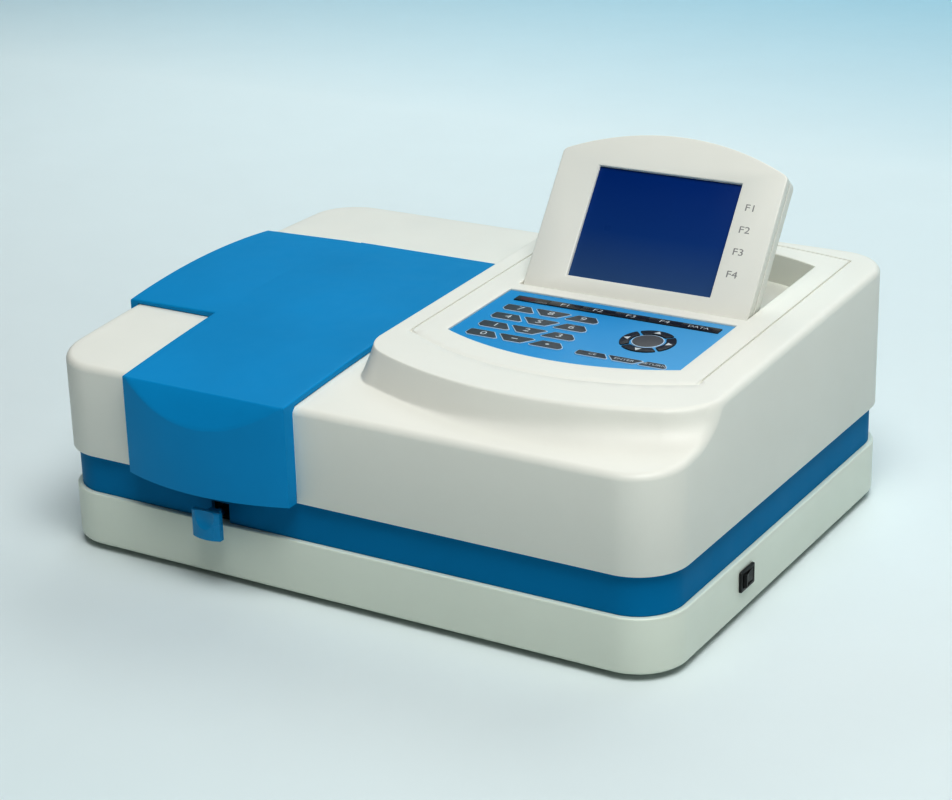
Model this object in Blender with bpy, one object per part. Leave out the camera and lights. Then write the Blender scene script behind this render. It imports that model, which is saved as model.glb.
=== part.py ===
"""Benchtop UV-visible spectrophotometer, modelled in metres with +Z up.

The instrument is described in a casing frame: X to the right, Y to the back, Z up, with the origin
at the centre of the footprint on the underside of the base tray. One empty moves that frame so that
the whole object's box is centred on X and Y and the feet stand on Z = 0.
"""
import math

import bmesh
import bpy
from mathutils import Matrix, Vector

# ---------------------------------------------------------------- driving dimensions (metres)
BODY_W = 0.480
BODY_D = 0.369
BODY_RADIUS = 0.036
WALL = 0.003
GAP = 0.0003

FOOT_RADIUS = 0.011
FOOT_DROP = 0.0045
FOOT_STEM_RADIUS = 0.003
FOOT_X = 0.185
FOOT_Y = 0.135

TRAY_TOP = 0.0394
TRAY_INSET = 0.0005
BAND_TOP = 0.0677
BAND_INSET = 0.004
LEDGE = 0.009

# The deck is a shallow arch from front to back: height = DECK_FRONT + a t + b t^2.
DECK_FRONT = 0.1352
DECK_RISE = 0.1055
DECK_CURVE = -0.1712
ARCH_STEPS = 14

# The console's rim plane leans up towards the back.
RIM_Z = 0.165
RIM_TILT = math.atan(0.038)
CONSOLE_LEFT = -0.0165

# Sample lid.
LID_LEFT_FRONT = -0.163
LID_LEFT_BACK = -0.168
LID_RIGHT = -0.030
LID_FRONT = -0.194
LID_BULGE = 0.012
LID_SKIN = 0.0024
LID_RISE = 0.0046
LID_RIM_GAP = 0.0006
WING_LEFT = -0.244
WING_FRONT = -0.083
WING_BACK = 0.0885
WING_FLANGE = 0.012
SCOOP_TOP = 0.1405
SCOOP_LOW = 0.116
LID_PIVOT_Y = 0.088
LID_PIVOT_Z = 0.1512
LID_BEAD = 0.0031
LID_ROD = 0.0011

# Sample compartment and cell changer.
TUB_X0, TUB_X1 = -0.158, -0.035
TUB_Y0, TUB_Y1 = -0.174, 0.086
TUB_FLOOR = 0.0193
TUB_WALL = 0.002
BEAM_Y = 0.015
BEAM_Z = 0.071
CELL_PITCH = 0.018
CELL_COUNT = 4
CELL_SIZE = 0.0124
CELL_WALL = 0.0012
CELL_HEIGHT = 0.045
CELL_BASE = 0.056
CARRIAGE_X = -0.0975
ROD_RADIUS = 0.004
ROD_Z = 0.0462
KNOB_X = -0.0955
KNOB_Z = 0.0447
KNOB_FRONT = -0.2025
KNOB_PLATE = -0.1965
KNOB_BACK = -0.1862
KNOB_STEM = 0.0050

# Keypad.
PANEL_X0, PANEL_X1 = 0.020, 0.194
PANEL_Y0, PANEL_Y1 = -0.070, 0.015
PANEL_ARC = -0.090
PANEL_THICK = 0.0015
PANEL_LEDGE = 0.0008
KEY_RISE = 0.0006
KEY_LENGTH = 0.003
KEY_CLEARANCE = 0.00035
NUMBER_ROW_Y = (-0.0157, -0.0324, -0.0492, -0.0659)
NUMBER_HEIGHT = 0.0108
NUMBER_SPANS = ((0.0323, 0.0580), (0.0552, 0.0834), (0.0818, 0.1068))
COMMAND_ROW_Y = -0.0688
COMMAND_HEIGHT = 0.0078
COMMAND_SPANS = ((0.1172, 0.1422), (0.1398, 0.1660), (0.1639, 0.1845))
PAD_X, PAD_Y = 0.1522, -0.0332
ARROW_OUTER, ARROW_INNER = 0.0190, 0.0124
CENTRE_KEY_RADIUS = 0.0112
SOFT_BAR_X0, SOFT_BAR_X1 = 0.0579, 0.1878
SOFT_KEY_PITCH = 0.02535
SOFT_BAR_Y = 0.0025
SOFT_BAR_DEPTH = 0.0078

# Display.
DISPLAY_X0, DISPLAY_X1 = 0.0207, 0.1949
DISPLAY_EDGE_Y = 0.0315
DISPLAY_OPEN = math.radians(51.12)
DISPLAY_SIDE = 0.103
DISPLAY_APEX = 0.1221
DISPLAY_HALF = 0.008
DISPLAY_REAR = 0.0098
BEZEL_THICK = 0.007
SCREEN_X0, SCREEN_X1 = 0.0524, 0.163
SCREEN_U0, SCREEN_U1 = 0.0101, 0.0934
WELL_GAP = 0.0008
WELL_DEPTH = 0.022
DISPLAY_ROD = 0.002

# Power switch on the right wall of the tray.
SWITCH_Y, SWITCH_Z = -0.064, 0.0235
SWITCH_LONG, SWITCH_TALL = 0.021, 0.0145
SWITCH_FRONT = 0.2414
ROCKER_AXIS_X = 0.2365
ROCKER_REST = math.radians(9.0)
ROCKER_HALF = 0.0070
ROCKER_TIP = SWITCH_FRONT - ROCKER_AXIS_X + 0.0011

# Mains inlet, signal port and fan on the back.
INLET_X, INLET_Z = 0.185, 0.019
INLET_BACK = 0.1868
PORT_X, PORT_Z = 0.132, 0.0205
FAN_X, FAN_Z = -0.172, 0.107
FAN_SIZE = 0.060

# Box of the whole object in the casing frame, which fixes where the origin goes.
ROCKER_REACH = ROCKER_TIP * math.cos(ROCKER_REST) + ROCKER_HALF * math.sin(ROCKER_REST)
BOX_X0, BOX_X1 = WING_LEFT, ROCKER_AXIS_X + ROCKER_REACH
BOX_Y0, BOX_Y1 = LID_FRONT - LID_BULGE, INLET_BACK
SHIFT = Vector((-(BOX_X0 + BOX_X1) / 2, -(BOX_Y0 + BOX_Y1) / 2, FOOT_DROP))


# ---------------------------------------------------------------- materials
def finish(name, colour, roughness, metallic=0.0):
    """A Principled material with one colour, roughness and metallic value."""
    material = bpy.data.materials.new(name)
    material.use_nodes = True
    shader = material.node_tree.nodes["Principled BSDF"]
    shader.inputs["Base Color"].default_value = (*colour, 1.0)
    shader.inputs["Roughness"].default_value = roughness
    shader.inputs["Metallic"].default_value = metallic
    return material


FINISHES = {
    "casing_white": ((0.76, 0.77, 0.74), 0.45, 0.0),
    "tray_white": ((0.62, 0.65, 0.60), 0.45, 0.0),
    "lid_blue": ((0.01, 0.22, 0.52), 0.40, 0.0),
    "membrane_blue": ((0.09, 0.38, 0.75), 0.35, 0.0),
    "key_grey": ((0.045, 0.07, 0.09), 0.45, 0.0),
    "black_plastic": ((0.015, 0.015, 0.017), 0.50, 0.0),
    "screen": ((0.005, 0.02, 0.09), 0.10, 0.0),
    "rubber": ((0.03, 0.03, 0.03), 0.85, 0.0),
    "steel": ((0.55, 0.56, 0.58), 0.30, 1.0),
    "aluminium": ((0.70, 0.71, 0.72), 0.35, 1.0),
    "black_metal": ((0.02, 0.02, 0.022), 0.60, 0.0),
    "glass": ((0.85, 0.92, 0.95), 0.05, 0.0),
    "circuit_board": ((0.02, 0.16, 0.06), 0.50, 0.0),
}


# ---------------------------------------------------------------- outlines
def arc_points(centre, radius, start, end, steps):
    """Points on a circle from one angle to another, both in degrees, ends included."""
    angles = [math.radians(start + (end - start) * i / steps) for i in range(steps + 1)]
    return [(centre[0] + radius * math.cos(a), centre[1] + radius * math.sin(a)) for a in angles]


def arc_through(first, middle, last, steps):
    """Points on the circle through three points, from the first to the last."""
    (ax, ay), (bx, by), (cx, cy) = first, middle, last
    d = 2 * (ax * (by - cy) + bx * (cy - ay) + cx * (ay - by))
    sa, sb, sc = ax * ax + ay * ay, bx * bx + by * by, cx * cx + cy * cy
    ux = (sa * (by - cy) + sb * (cy - ay) + sc * (ay - by)) / d
    uy = (sa * (cx - bx) + sb * (ax - cx) + sc * (bx - ax)) / d
    radius = math.hypot(ax - ux, ay - uy)
    start = math.atan2(ay - uy, ax - ux)
    sweep_mid = (math.atan2(by - uy, bx - ux) - start) % (2 * math.pi)
    sweep = (math.atan2(cy - uy, cx - ux) - start) % (2 * math.pi)
    if sweep_mid > sweep:
        sweep -= 2 * math.pi
    angles = [start + sweep * i / steps for i in range(steps + 1)]
    return [(ux + radius * math.cos(a), uy + radius * math.sin(a)) for a in angles]


def rectangle(x0, x1, y0, y1):
    return [(x0, y0), (x1, y0), (x1, y1), (x0, y1)]


def rounded_rectangle(x0, x1, y0, y1, radius, steps=4):
    """A rectangle whose corners are arcs, counter-clockwise."""
    corners = ((x1 - radius, y0 + radius, -90), (x1 - radius, y1 - radius, 0),
               (x0 + radius, y1 - radius, 90), (x0 + radius, y0 + radius, 180))
    points = []
    for cx, cy, start in corners:
        points += arc_points((cx, cy), radius, start, start + 90, steps)
    return points


def circle(centre, radius, steps=24):
    return arc_points(centre, radius, 0, 360 - 360 / steps, steps - 1)


def footprint(inset):
    """The casing's rounded footprint, moved inwards."""
    half_w, half_d = BODY_W / 2 - inset, BODY_D / 2 - inset
    return rounded_rectangle(-half_w, half_w, -half_d, half_d, BODY_RADIUS - inset, 6)


# ---------------------------------------------------------------- solids
def mesh_object(name, bm):
    """A scene object that owns the bmesh's faces, all pointing outwards."""
    bmesh.ops.recalc_face_normals(bm, faces=bm.faces)
    mesh = bpy.data.meshes.new(name)
    bm.to_mesh(mesh)
    bm.free()
    thing = bpy.data.objects.new(name, mesh)
    bpy.context.scene.collection.objects.link(thing)
    return thing


def loft(loops, name="solid"):
    """A closed solid through loops of the same number of points, with flat ends."""
    bm = bmesh.new()
    rings = [[bm.verts.new(point) for point in loop] for loop in loops]
    count = len(rings[0])
    for low, high in zip(rings, rings[1:]):
        for i in range(count):
            j = (i + 1) % count
            bm.faces.new((low[i], low[j], high[j], high[i]))
    bm.faces.new(reversed(rings[0]))
    bm.faces.new(rings[-1])
    return mesh_object(name, bm)


def prism(outline, z0, z1):
    """An upright prism on an outline in X and Y."""
    return loft([[(x, y, z0) for x, y in outline], [(x, y, z1) for x, y in outline]])


def prism_x(outline, x0, x1):
    """A prism along X on an outline in Y and Z."""
    return loft([[(x0, y, z) for y, z in outline], [(x1, y, z) for y, z in outline]])


def prism_y(outline, y0, y1):
    """A prism along Y on an outline in X and Z."""
    return loft([[(x, y0, z) for x, z in outline], [(x, y1, z) for x, z in outline]])


def box(x0, x1, y0, y1, z0, z1):
    return prism(rectangle(x0, x1, y0, y1), z0, z1)


def applied(thing, modifier_type, **settings):
    """Adds one modifier to a solid and keeps its result as the solid's own mesh."""
    modifier = thing.modifiers.new("shape", modifier_type)
    for key, value in settings.items():
        setattr(modifier, key, value)
    graph = bpy.context.evaluated_depsgraph_get()
    mesh = bpy.data.meshes.new_from_object(thing.evaluated_get(graph))
    thing.modifiers.clear()
    old = thing.data
    thing.data = mesh
    bpy.data.meshes.remove(old)
    return thing


def combine(thing, others, operation):
    """Joins, cuts or intersects a solid with others, which are used up."""
    for other in others:
        applied(thing, "BOOLEAN", operation=operation, solver="EXACT", object=other)
        old = other.data
        bpy.data.objects.remove(other)
        bpy.data.meshes.remove(old)
    return thing


def join(thing, *others):
    return combine(thing, others, "UNION")


def cut(thing, *others):
    return combine(thing, others, "DIFFERENCE")


def keep(thing, *others):
    return combine(thing, others, "INTERSECT")


def moved(thing, matrix):
    thing.data.transform(matrix)
    return thing


# ---------------------------------------------------------------- the curved deck
def deck_z(y):
    """Height of the casing's arched deck."""
    t = y + BODY_D / 2
    return DECK_FRONT + DECK_RISE * t + DECK_CURVE * t * t


def arch_line(y0, y1, offset):
    """Points along the deck's arch from front to back, raised by an offset."""
    ys = [y0 + (y1 - y0) * i / ARCH_STEPS for i in range(ARCH_STEPS + 1)]
    return [(y, deck_z(y) + offset) for y in ys]


def under_arch(x0, x1, y0, y1, z0, offset):
    """The solid between a flat bottom and the deck's arch raised by an offset."""
    return prism_x([(y0, z0)] + arch_line(y0, y1, offset) + [(y1, z0)], x0, x1)


# ---------------------------------------------------------------- the console's tilted plane
PANEL = Matrix.Translation((0, 0, RIM_Z)) @ Matrix.Rotation(RIM_TILT, 4, "X")


def rim_z(y):
    return RIM_Z + math.tan(RIM_TILT) * y


def display_pivot_on_panel():
    """The display's axis in the panel's own frame.

    A barrel of radius DISPLAY_HALF touches both the panel's plane, when the display lies flat, and
    the raised display's face, which meets that plane along DISPLAY_EDGE_Y.
    """
    edge = DISPLAY_EDGE_Y / math.cos(RIM_TILT)
    wedge = math.pi - DISPLAY_OPEN
    return Vector((0, edge + DISPLAY_HALF / math.tan(wedge / 2), -DISPLAY_HALF))


DISPLAY_PIVOT = PANEL @ display_pivot_on_panel()
DISPLAY_TOE = DISPLAY_HALF / math.tan((math.pi - DISPLAY_OPEN) / 2)


# ---------------------------------------------------------------- named pieces
def place(name, thing, material, parent, pivot=(0, 0, 0)):
    """Names a finished solid, gives it its finish, and puts its origin on a pivot."""
    pivot = Vector(pivot)
    thing.name = name
    thing.data.name = name
    thing.data.transform(Matrix.Translation(-pivot))
    thing.location = pivot
    thing.parent = parent
    thing.data.materials.clear()
    thing.data.materials.append(material)
    thing.data.shade_smooth()
    thing.data.set_sharp_from_angle(angle=math.radians(30))
    return thing


def base_tray():
    """The lower tray: floor, walls and the ledge that the blue band stands on."""
    tray = prism(footprint(TRAY_INSET), 0.0, TRAY_TOP)
    cut(tray, prism(footprint(TRAY_INSET + WALL), WALL, TRAY_TOP - 0.005),
        prism(footprint(LEDGE), WALL + 0.001, TRAY_TOP + 0.001))
    for x in (-FOOT_X, FOOT_X):
        for y in (-FOOT_Y, FOOT_Y):
            cut(tray, prism(circle((x, y), FOOT_STEM_RADIUS + GAP, 12), -0.001, WALL + 0.002))
    half_l, half_t = SWITCH_LONG / 2 - 0.001, SWITCH_TALL / 2 - 0.001
    cut(tray, box(0.22, 0.25, SWITCH_Y - half_l, SWITCH_Y + half_l,
                  SWITCH_Z - half_t, SWITCH_Z + half_t))
    cut(tray, box(INLET_X - 0.0133, INLET_X + 0.0133, 0.17, 0.19, INLET_Z - 0.0103, INLET_Z + 0.0103))
    cut(tray, box(PORT_X - 0.0168, PORT_X + 0.0168, 0.17, 0.19, PORT_Z - 0.0066, PORT_Z + 0.0066))
    return tray


def band_frame():
    """The blue waist between tray and casing, with the slot that the cell rod runs through."""
    low, high = TRAY_TOP + GAP, BAND_TOP - GAP
    band = prism(footprint(BAND_INSET), low, high)
    cut(band, prism(footprint(BAND_INSET + WALL), low - 0.001, high + 0.001))
    cut(band, box(-0.1048, -0.0902, -0.20, -0.15, TRAY_TOP - 0.01, 0.0535))
    return band


def console_loops(inset, drop):
    """Loops of the console from below the deck up to its rim, moved inwards and down."""
    rear = BODY_D / 2 + 0.01
    steps_corner, steps_front = 5, 10
    rim = [(CONSOLE_LEFT + inset, rear)]
    rim += arc_through((-0.0165 + inset, -0.100), (-0.0105 + inset, -0.1155 + inset),
                       (0.003, -0.1257 + inset), steps_corner)
    rim += arc_through((0.005, -0.1269 + inset), (0.108, -0.1502 + inset),
                       (0.213, -0.1318 + inset), steps_front)
    rim += arc_through((0.215, -0.1306 + inset), (0.231 - inset / 2, -0.118 + inset),
                       (0.244 - inset, -0.098), steps_corner)
    rim += [(0.260, -0.098), (0.260, rear)]
    foot = [(-0.0185 + inset, rear)]
    foot += arc_through((-0.0185 + inset, -0.112), (-0.0135 + inset, -0.1275 + inset),
                        (0.003, -0.1375 + inset), steps_corner)
    foot += arc_through((0.005, -0.1384 + inset), (0.108, -0.1580 + inset),
                        (0.209, -0.1390 + inset), steps_front)
    foot += arc_through((0.211, -0.1381 + inset), (0.231, -0.1285 + inset),
                        (0.244 - inset, -0.113 + inset), steps_corner)
    foot += [(0.260, -0.113 + inset), (0.260, rear)]
    top = [(x, y, rim_z(y) - drop) for x, y in rim]
    middle = [(x, y, 0.140 - drop) for x, y in foot]
    return [[(x, y, 0.118) for x, y in foot], middle, top]


def well_outline(grow):
    """The display's outline in the panel's frame, from its barrel to its arched top, grown."""
    pivot_y = display_pivot_on_panel().y
    base = pivot_y + DISPLAY_TOE
    front = pivot_y - DISPLAY_HALF - grow
    middle = (DISPLAY_X0 + DISPLAY_X1) / 2
    x0, x1 = DISPLAY_X0 - grow, DISPLAY_X1 + grow
    arch = arc_through((x1, base + DISPLAY_SIDE + grow), (middle, base + DISPLAY_APEX + grow),
                       (x0, base + DISPLAY_SIDE + grow), 10)
    return [(x0, front), (x1, front)] + arch


def panel_outline(inset):
    """The keypad's outline: straight back and sides, and a front edge that bows outwards."""
    x0, x1 = PANEL_X0 + inset, PANEL_X1 - inset
    front = arc_through((x0, PANEL_Y0 + inset), ((x0 + x1) / 2, PANEL_ARC + inset),
                        (x1, PANEL_Y0 + inset), 10)
    return front + [(x1, PANEL_Y1 - inset), (x0, PANEL_Y1 - inset)]


def upper_casing():
    """The white casing: walls, arched deck, raised console, display well and openings."""
    casing = keep(prism(footprint(0), BAND_TOP, 0.2),
                  under_arch(-0.3, 0.3, -0.2, 0.2, 0.0, 0))
    console = keep(loft(console_loops(0, 0)), prism(footprint(0), 0.1, 0.2))
    join(casing, console)
    hollow = keep(prism(footprint(WALL), BAND_TOP + 0.005, 0.2),
                  under_arch(-0.3, 0.3, -0.2, 0.2, 0.0, -WALL))
    hump = keep(loft(console_loops(WALL, WALL)), prism(footprint(WALL), 0.1, 0.2))
    join(hollow, hump)
    cut(casing, hollow, prism(footprint(LEDGE), BAND_TOP - 0.01, BAND_TOP + 0.007))

    well_block = moved(prism(well_outline(WELL_GAP + WALL), -WELL_DEPTH - WALL, -0.0015), PANEL)
    join(casing, well_block)
    cut(casing, moved(prism(well_outline(WELL_GAP), -WELL_DEPTH, 0.02), PANEL))
    pin_height = display_pivot_on_panel()
    bore = prism_x(circle((pin_height.y, pin_height.z), DISPLAY_ROD + 0.0004, 16), 0.012, 0.204)
    cut(casing, moved(bore, PANEL))

    cut(casing, moved(prism(panel_outline(-GAP), -PANEL_THICK - 0.0001, 0.02), PANEL))
    cut(casing, moved(prism(panel_outline(PANEL_LEDGE), -0.02, 0.02), PANEL))

    hinge_beam = box(-0.172, -0.030, 0.0864, 0.096, 0.1435, 0.1498)
    join(casing, hinge_beam)
    cut(casing, box(TUB_X0 + TUB_WALL, TUB_X1 - TUB_WALL, TUB_Y0 + TUB_WALL, 0.0845, 0.12, 0.2))
    cut(casing, box(-0.1676, -0.0304, 0.0840, 0.0914, 0.1476, 0.2))
    cut(casing, box(-0.250, -0.160, 0.0840, 0.0914, 0.1496, 0.2))
    for x0 in (-0.1655, -0.0365):
        ear = prism_x(circle((LID_PIVOT_Y, LID_PIVOT_Z), 0.0019, 16), x0, x0 + 0.005)
        join(ear, box(x0, x0 + 0.005, LID_PIVOT_Y - 0.0019, LID_PIVOT_Y + 0.0019,
                      0.146, LID_PIVOT_Z))
        cut(ear, prism_x(circle((LID_PIVOT_Y, LID_PIVOT_Z), LID_ROD + GAP, 12), x0 - 0.01, x0 + 0.01))
        join(casing, ear)

    slots = 7
    for i in range(slots):
        z = FAN_Z + (i - (slots - 1) / 2) * 0.0068
        reach = math.sqrt(0.026 ** 2 - (z - FAN_Z) ** 2)
        cut(casing, box(FAN_X - reach, FAN_X + reach, 0.17, 0.20, z - 0.0017, z + 0.0017))
    return casing


def foot():
    """A round rubber foot with the stem that plugs into the tray."""
    pad = prism(circle((0, 0), FOOT_RADIUS), -FOOT_DROP, -GAP)
    return join(pad, prism(circle((0, 0), FOOT_STEM_RADIUS, 12), -0.001, WALL - 0.0005))


def lid_top(y):
    """Height of the lid's top over the strip: a little above the deck, less at the back."""
    fade = min(max((y + 0.083) / (LID_PIVOT_Y + 0.083), 0.0), 1.0)
    return deck_z(y) + LID_RISE - (LID_RISE - 0.003) * fade


def lid_solid(inset):
    """The lid as a solid block, moved inwards by a skin; its underside is cut later."""
    right, front = LID_RIGHT - inset, LID_FRONT + inset
    back = LID_PIVOT_Y
    bulge = arc_through((LID_LEFT_FRONT + inset, front),
                        ((LID_LEFT_FRONT + LID_RIGHT) / 2, front - LID_BULGE), (right, front), 10)
    outline = bulge + [(right, back), (LID_LEFT_BACK + inset, back), (LID_LEFT_BACK + inset, WING_FRONT)]
    strip = prism(outline, BAND_TOP, 0.2)
    ys = [LID_FRONT - LID_BULGE - 0.005 + (0.31) * i / 20 for i in range(21)]
    profile = [(y, lid_top(max(y, LID_FRONT)) - inset) for y in ys]
    keep(strip, prism_x([(ys[0], 0.0)] + profile + [(ys[-1], 0.0)], -0.3, 0.0))
    slope = (SCOOP_TOP - SCOOP_LOW) / LID_BULGE
    shift = inset * math.hypot(1, slope)
    top_y = LID_FRONT
    scoop = [(top_y - 0.02, SCOOP_TOP - 0.02 * slope - shift), (top_y + 0.004,
             SCOOP_TOP + 0.004 * slope - shift), (top_y - 0.02, SCOOP_TOP + 0.004 * slope - shift)]
    cut(strip, prism_x(scoop, -0.3, 0.0))
    left = WING_LEFT + inset
    wing_front, wing_back = WING_FRONT + inset, WING_BACK - inset
    steps = 12
    loops = []
    for x, share in ((LID_LEFT_BACK + 0.02, 0.0), (LID_LEFT_BACK, 0.0), (left, 1.0)):
        ys = [wing_front + (wing_back - wing_front) * i / steps for i in range(steps + 1)]
        tops = [(x, y, lid_top(y) - inset + share * wing_arch(y)) for y in ys]
        loops.append([(x, wing_front, 0.12)] + tops + [(x, wing_back, 0.12)])
    return join(strip, loft(loops))


def wing_arch(y):
    """How much the wing's left edge stands above or below the strip beside it."""
    middle, half = 0.000, 0.088
    share = (y - middle) / half
    return 0.0024 - 0.0044 * share * share


def sample_lid():
    """The blue L-shaped lid with its finger scoop, hollow underneath, and its hinge bead."""
    lid = lid_solid(0)
    cut(lid, lid_solid(LID_SKIN))
    under = arch_line(-BODY_D / 2 - 0.0008, 0.12, LID_RIM_GAP)
    body_side = -BODY_W / 2 - 0.0004
    cut(lid, prism_x([(under[0][0], 0.0)] + under + [(0.12, 0.0)], body_side, 0.0))
    cut(lid, box(-0.26, body_side + 0.001, -0.2, 0.2, 0.0, deck_z(0) - WING_FLANGE - 0.006))
    bead_x0, bead_x1 = -0.1555, -0.0375
    lid_bead = prism_x(circle((LID_PIVOT_Y, LID_PIVOT_Z), LID_BEAD, 20), bead_x0, bead_x1)
    join(lid, lid_bead)
    cut(lid, prism_x(circle((LID_PIVOT_Y, LID_PIVOT_Z), LID_ROD + GAP, 12), -0.1672, -0.0308))
    for x0 in (-0.1655, -0.0365):
        a, b = x0 - GAP, x0 + 0.005 + GAP
        cut(lid, box(a, b, LID_PIVOT_Y - 0.0045, 0.093, 0.14, LID_PIVOT_Z + 0.0021))
        cut(lid, box(a, b, LID_PIVOT_Y, 0.093, 0.14, 0.17))
    return lid


def light_baffle():
    """The black ring under the lid that hangs into the compartment and keeps light out."""
    x0, x1, y0, y1 = TUB_X0 + 0.004, TUB_X1 - 0.004, -0.166, 0.078
    ring = prism(rectangle(x0, x1, y0, y1), 0.10, 0.2)
    cut(ring, prism(rectangle(x0 + 0.0025, x1 - 0.0025, y0 + 0.0025, y1 - 0.0025), 0.09, 0.21))
    steps = 14
    ys = [-0.17 + 0.25 * i / steps for i in range(steps + 1)]
    top = [(y, lid_top(y) - LID_SKIN - GAP) for y in ys]
    low = [(y, deck_z(y) - 0.009) for y in ys]
    return keep(ring, prism_x(top + low[::-1], -0.3, 0.0))


def lid_hinge_rod():
    return prism_x(circle((LID_PIVOT_Y, LID_PIVOT_Z), LID_ROD, 12), -0.1660, -0.0310)


def sample_tub():
    """The black sample compartment with its two beam windows and its rod hole."""
    tub = keep(box(TUB_X0, TUB_X1, TUB_Y0, TUB_Y1, TUB_FLOOR, 0.2),
               under_arch(-0.3, 0.3, -0.2, 0.2, 0.0, -0.0045))
    cut(tub, box(TUB_X0 + TUB_WALL, TUB_X1 - TUB_WALL, TUB_Y0 + TUB_WALL, TUB_Y1 - TUB_WALL,
                 TUB_FLOOR + 0.0027, 0.2))
    cut(tub, prism_x(circle((BEAM_Y, BEAM_Z), 0.005, 16), -0.3, 0.0))
    cut(tub, prism_y(circle((CARRIAGE_X, ROD_Z), ROD_RADIUS + 0.0005, 16), -0.2, -0.15))
    for x in (CARRIAGE_X - 0.011, CARRIAGE_X + 0.011):
        join(tub, box(x - 0.0015, x + 0.0015, -0.055, 0.0835, TUB_FLOOR + 0.001, 0.028))
    return tub


def cell_centres():
    return [BEAM_Y + CELL_PITCH * i for i in range(CELL_COUNT)]


def cell_carriage():
    """The block that carries four cells past the beam on the tub's two guide ribs."""
    x0, x1 = CARRIAGE_X - 0.016, CARRIAGE_X + 0.016
    y0, y1 = cell_centres()[0] - 0.010, cell_centres()[-1] + 0.010
    block = box(x0, x1, y0, y1, 0.0225, CELL_BASE - 0.004)
    join(block, box(CARRIAGE_X - 0.010, CARRIAGE_X + 0.010, y0, y1, 0.050, CELL_BASE + 0.028))
    for x in (CARRIAGE_X - 0.011, CARRIAGE_X + 0.011):
        cut(block, box(x - 0.0018, x + 0.0018, y0 - 0.01, y1 + 0.01, 0.020, 0.0283))
    half = CELL_SIZE / 2 + GAP
    for y in cell_centres():
        cut(block, box(CARRIAGE_X - half, CARRIAGE_X + half, y - half, y + half,
                       CELL_BASE - GAP, CELL_BASE + 0.03))
        cut(block, prism_x(circle((y, BEAM_Z), 0.004, 12), -0.2, 0.0))
    return block


def cuvette():
    """A square glass cell, open at the top."""
    half = CELL_SIZE / 2
    cell = box(CARRIAGE_X - half, CARRIAGE_X + half, BEAM_Y - half, BEAM_Y + half,
               CELL_BASE, CELL_BASE + CELL_HEIGHT)
    inner = half - CELL_WALL
    return cut(cell, box(CARRIAGE_X - inner, CARRIAGE_X + inner, BEAM_Y - inner, BEAM_Y + inner,
                         CELL_BASE + 0.0015, CELL_BASE + CELL_HEIGHT + 0.001))


def pull_rod():
    start = cell_centres()[0] - 0.010 - GAP
    return prism_y(circle((CARRIAGE_X, ROD_Z), ROD_RADIUS, 16), KNOB_BACK + GAP, start)


def pull_knob():
    """The blue grip on the end of the cell rod: a bowed plate with a finger scoop, on a stem."""
    half_x, half_z = 0.0115, 0.0103
    bow = arc_through((KNOB_X - half_x, KNOB_FRONT + 0.0025), (KNOB_X, KNOB_FRONT),
                      (KNOB_X + half_x, KNOB_FRONT + 0.0025), 6)
    knob = prism(bow + [(KNOB_X + half_x, KNOB_PLATE), (KNOB_X - half_x, KNOB_PLATE)],
                 KNOB_Z - half_z, KNOB_Z + half_z)
    join(knob, box(CARRIAGE_X - KNOB_STEM, CARRIAGE_X + KNOB_STEM, KNOB_PLATE - 0.0005, KNOB_BACK,
                   ROD_Z - KNOB_STEM, ROD_Z + KNOB_STEM))
    top = KNOB_Z + half_z
    wedge = [(KNOB_FRONT + 0.0037, top + 0.001), (KNOB_FRONT - 0.001, top - 0.0120),
             (KNOB_FRONT - 0.001, top + 0.001)]
    return cut(knob, prism_x(wedge, KNOB_X - 0.02, KNOB_X + 0.02))


# ---------------------------------------------------------------- keypad
def nested_key_outline(column, spans, y, height):
    """A key of a row of three, with slanted sides that nest with its neighbours'."""
    half = height / 2
    left, right = spans[column]
    corners = (((left, -0.45), (left + 0.55 * half, -1), (right - 0.35 * half, -1), (right, -0.65),
                (right - 1.26 * half, 1), (left + 0.3 * half, 1), (left + 0.05 * half, 0.75)),
               ((left + 1.55 * half, -1), (right - 1.3 * half, -1), (right, 0.75),
                (right - 0.5 * half, 1), (left + 0.35 * half, 1), (left, 0.75)),
               ((left, -0.75), (left + 0.35 * half, -1), (right - 0.4 * half, -1), (right, -0.6),
                (right - 0.05 * half, -0.1), (right - 0.93 * half, 1), (left + 1.15 * half, 1)))
    return [(x, y + share * half) for x, share in corners[column]]


def ring_sector(middle_angle):
    """One of the four arrow keys: a piece of a ring."""
    outer = arc_points((PAD_X, PAD_Y), ARROW_OUTER, middle_angle - 42, middle_angle + 42, 7)
    inner = arc_points((PAD_X, PAD_Y), ARROW_INNER, middle_angle + 40, middle_angle - 40, 7)
    return outer + inner


def key_outlines():
    """Every key's name and outline in the panel's frame."""
    keys = {}
    legends = (("7", "8", "9"), ("4", "5", "6"), ("1", "2", "3"), ("0", "minus", "point"))
    for row, y in zip(legends, NUMBER_ROW_Y):
        for column, legend in enumerate(row):
            keys["key_" + legend] = nested_key_outline(column, NUMBER_SPANS, y, NUMBER_HEIGHT)
    for column, name in enumerate(("key_clear", "key_enter", "key_return")):
        keys[name] = nested_key_outline(column, COMMAND_SPANS, COMMAND_ROW_Y, COMMAND_HEIGHT)
    for name, angle in (("arrow_right", 0), ("arrow_up", 90), ("arrow_left", 180), ("arrow_down", 270)):
        keys[name] = ring_sector(angle)
    keys["centre_key"] = circle((PAD_X, PAD_Y), CENTRE_KEY_RADIUS, 20)
    for i, name in enumerate(("soft_key_1", "soft_key_2", "soft_key_3", "soft_key_4", "data_key")):
        x0 = SOFT_BAR_X0 + SOFT_KEY_PITCH * i
        x1 = x0 + SOFT_KEY_PITCH if i < 4 else SOFT_BAR_X1
        keys[name] = rectangle(x0 + 0.0007, x1 - 0.0007, SOFT_BAR_Y - SOFT_BAR_DEPTH / 2,
                               SOFT_BAR_Y + SOFT_BAR_DEPTH / 2)
    return keys


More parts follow.
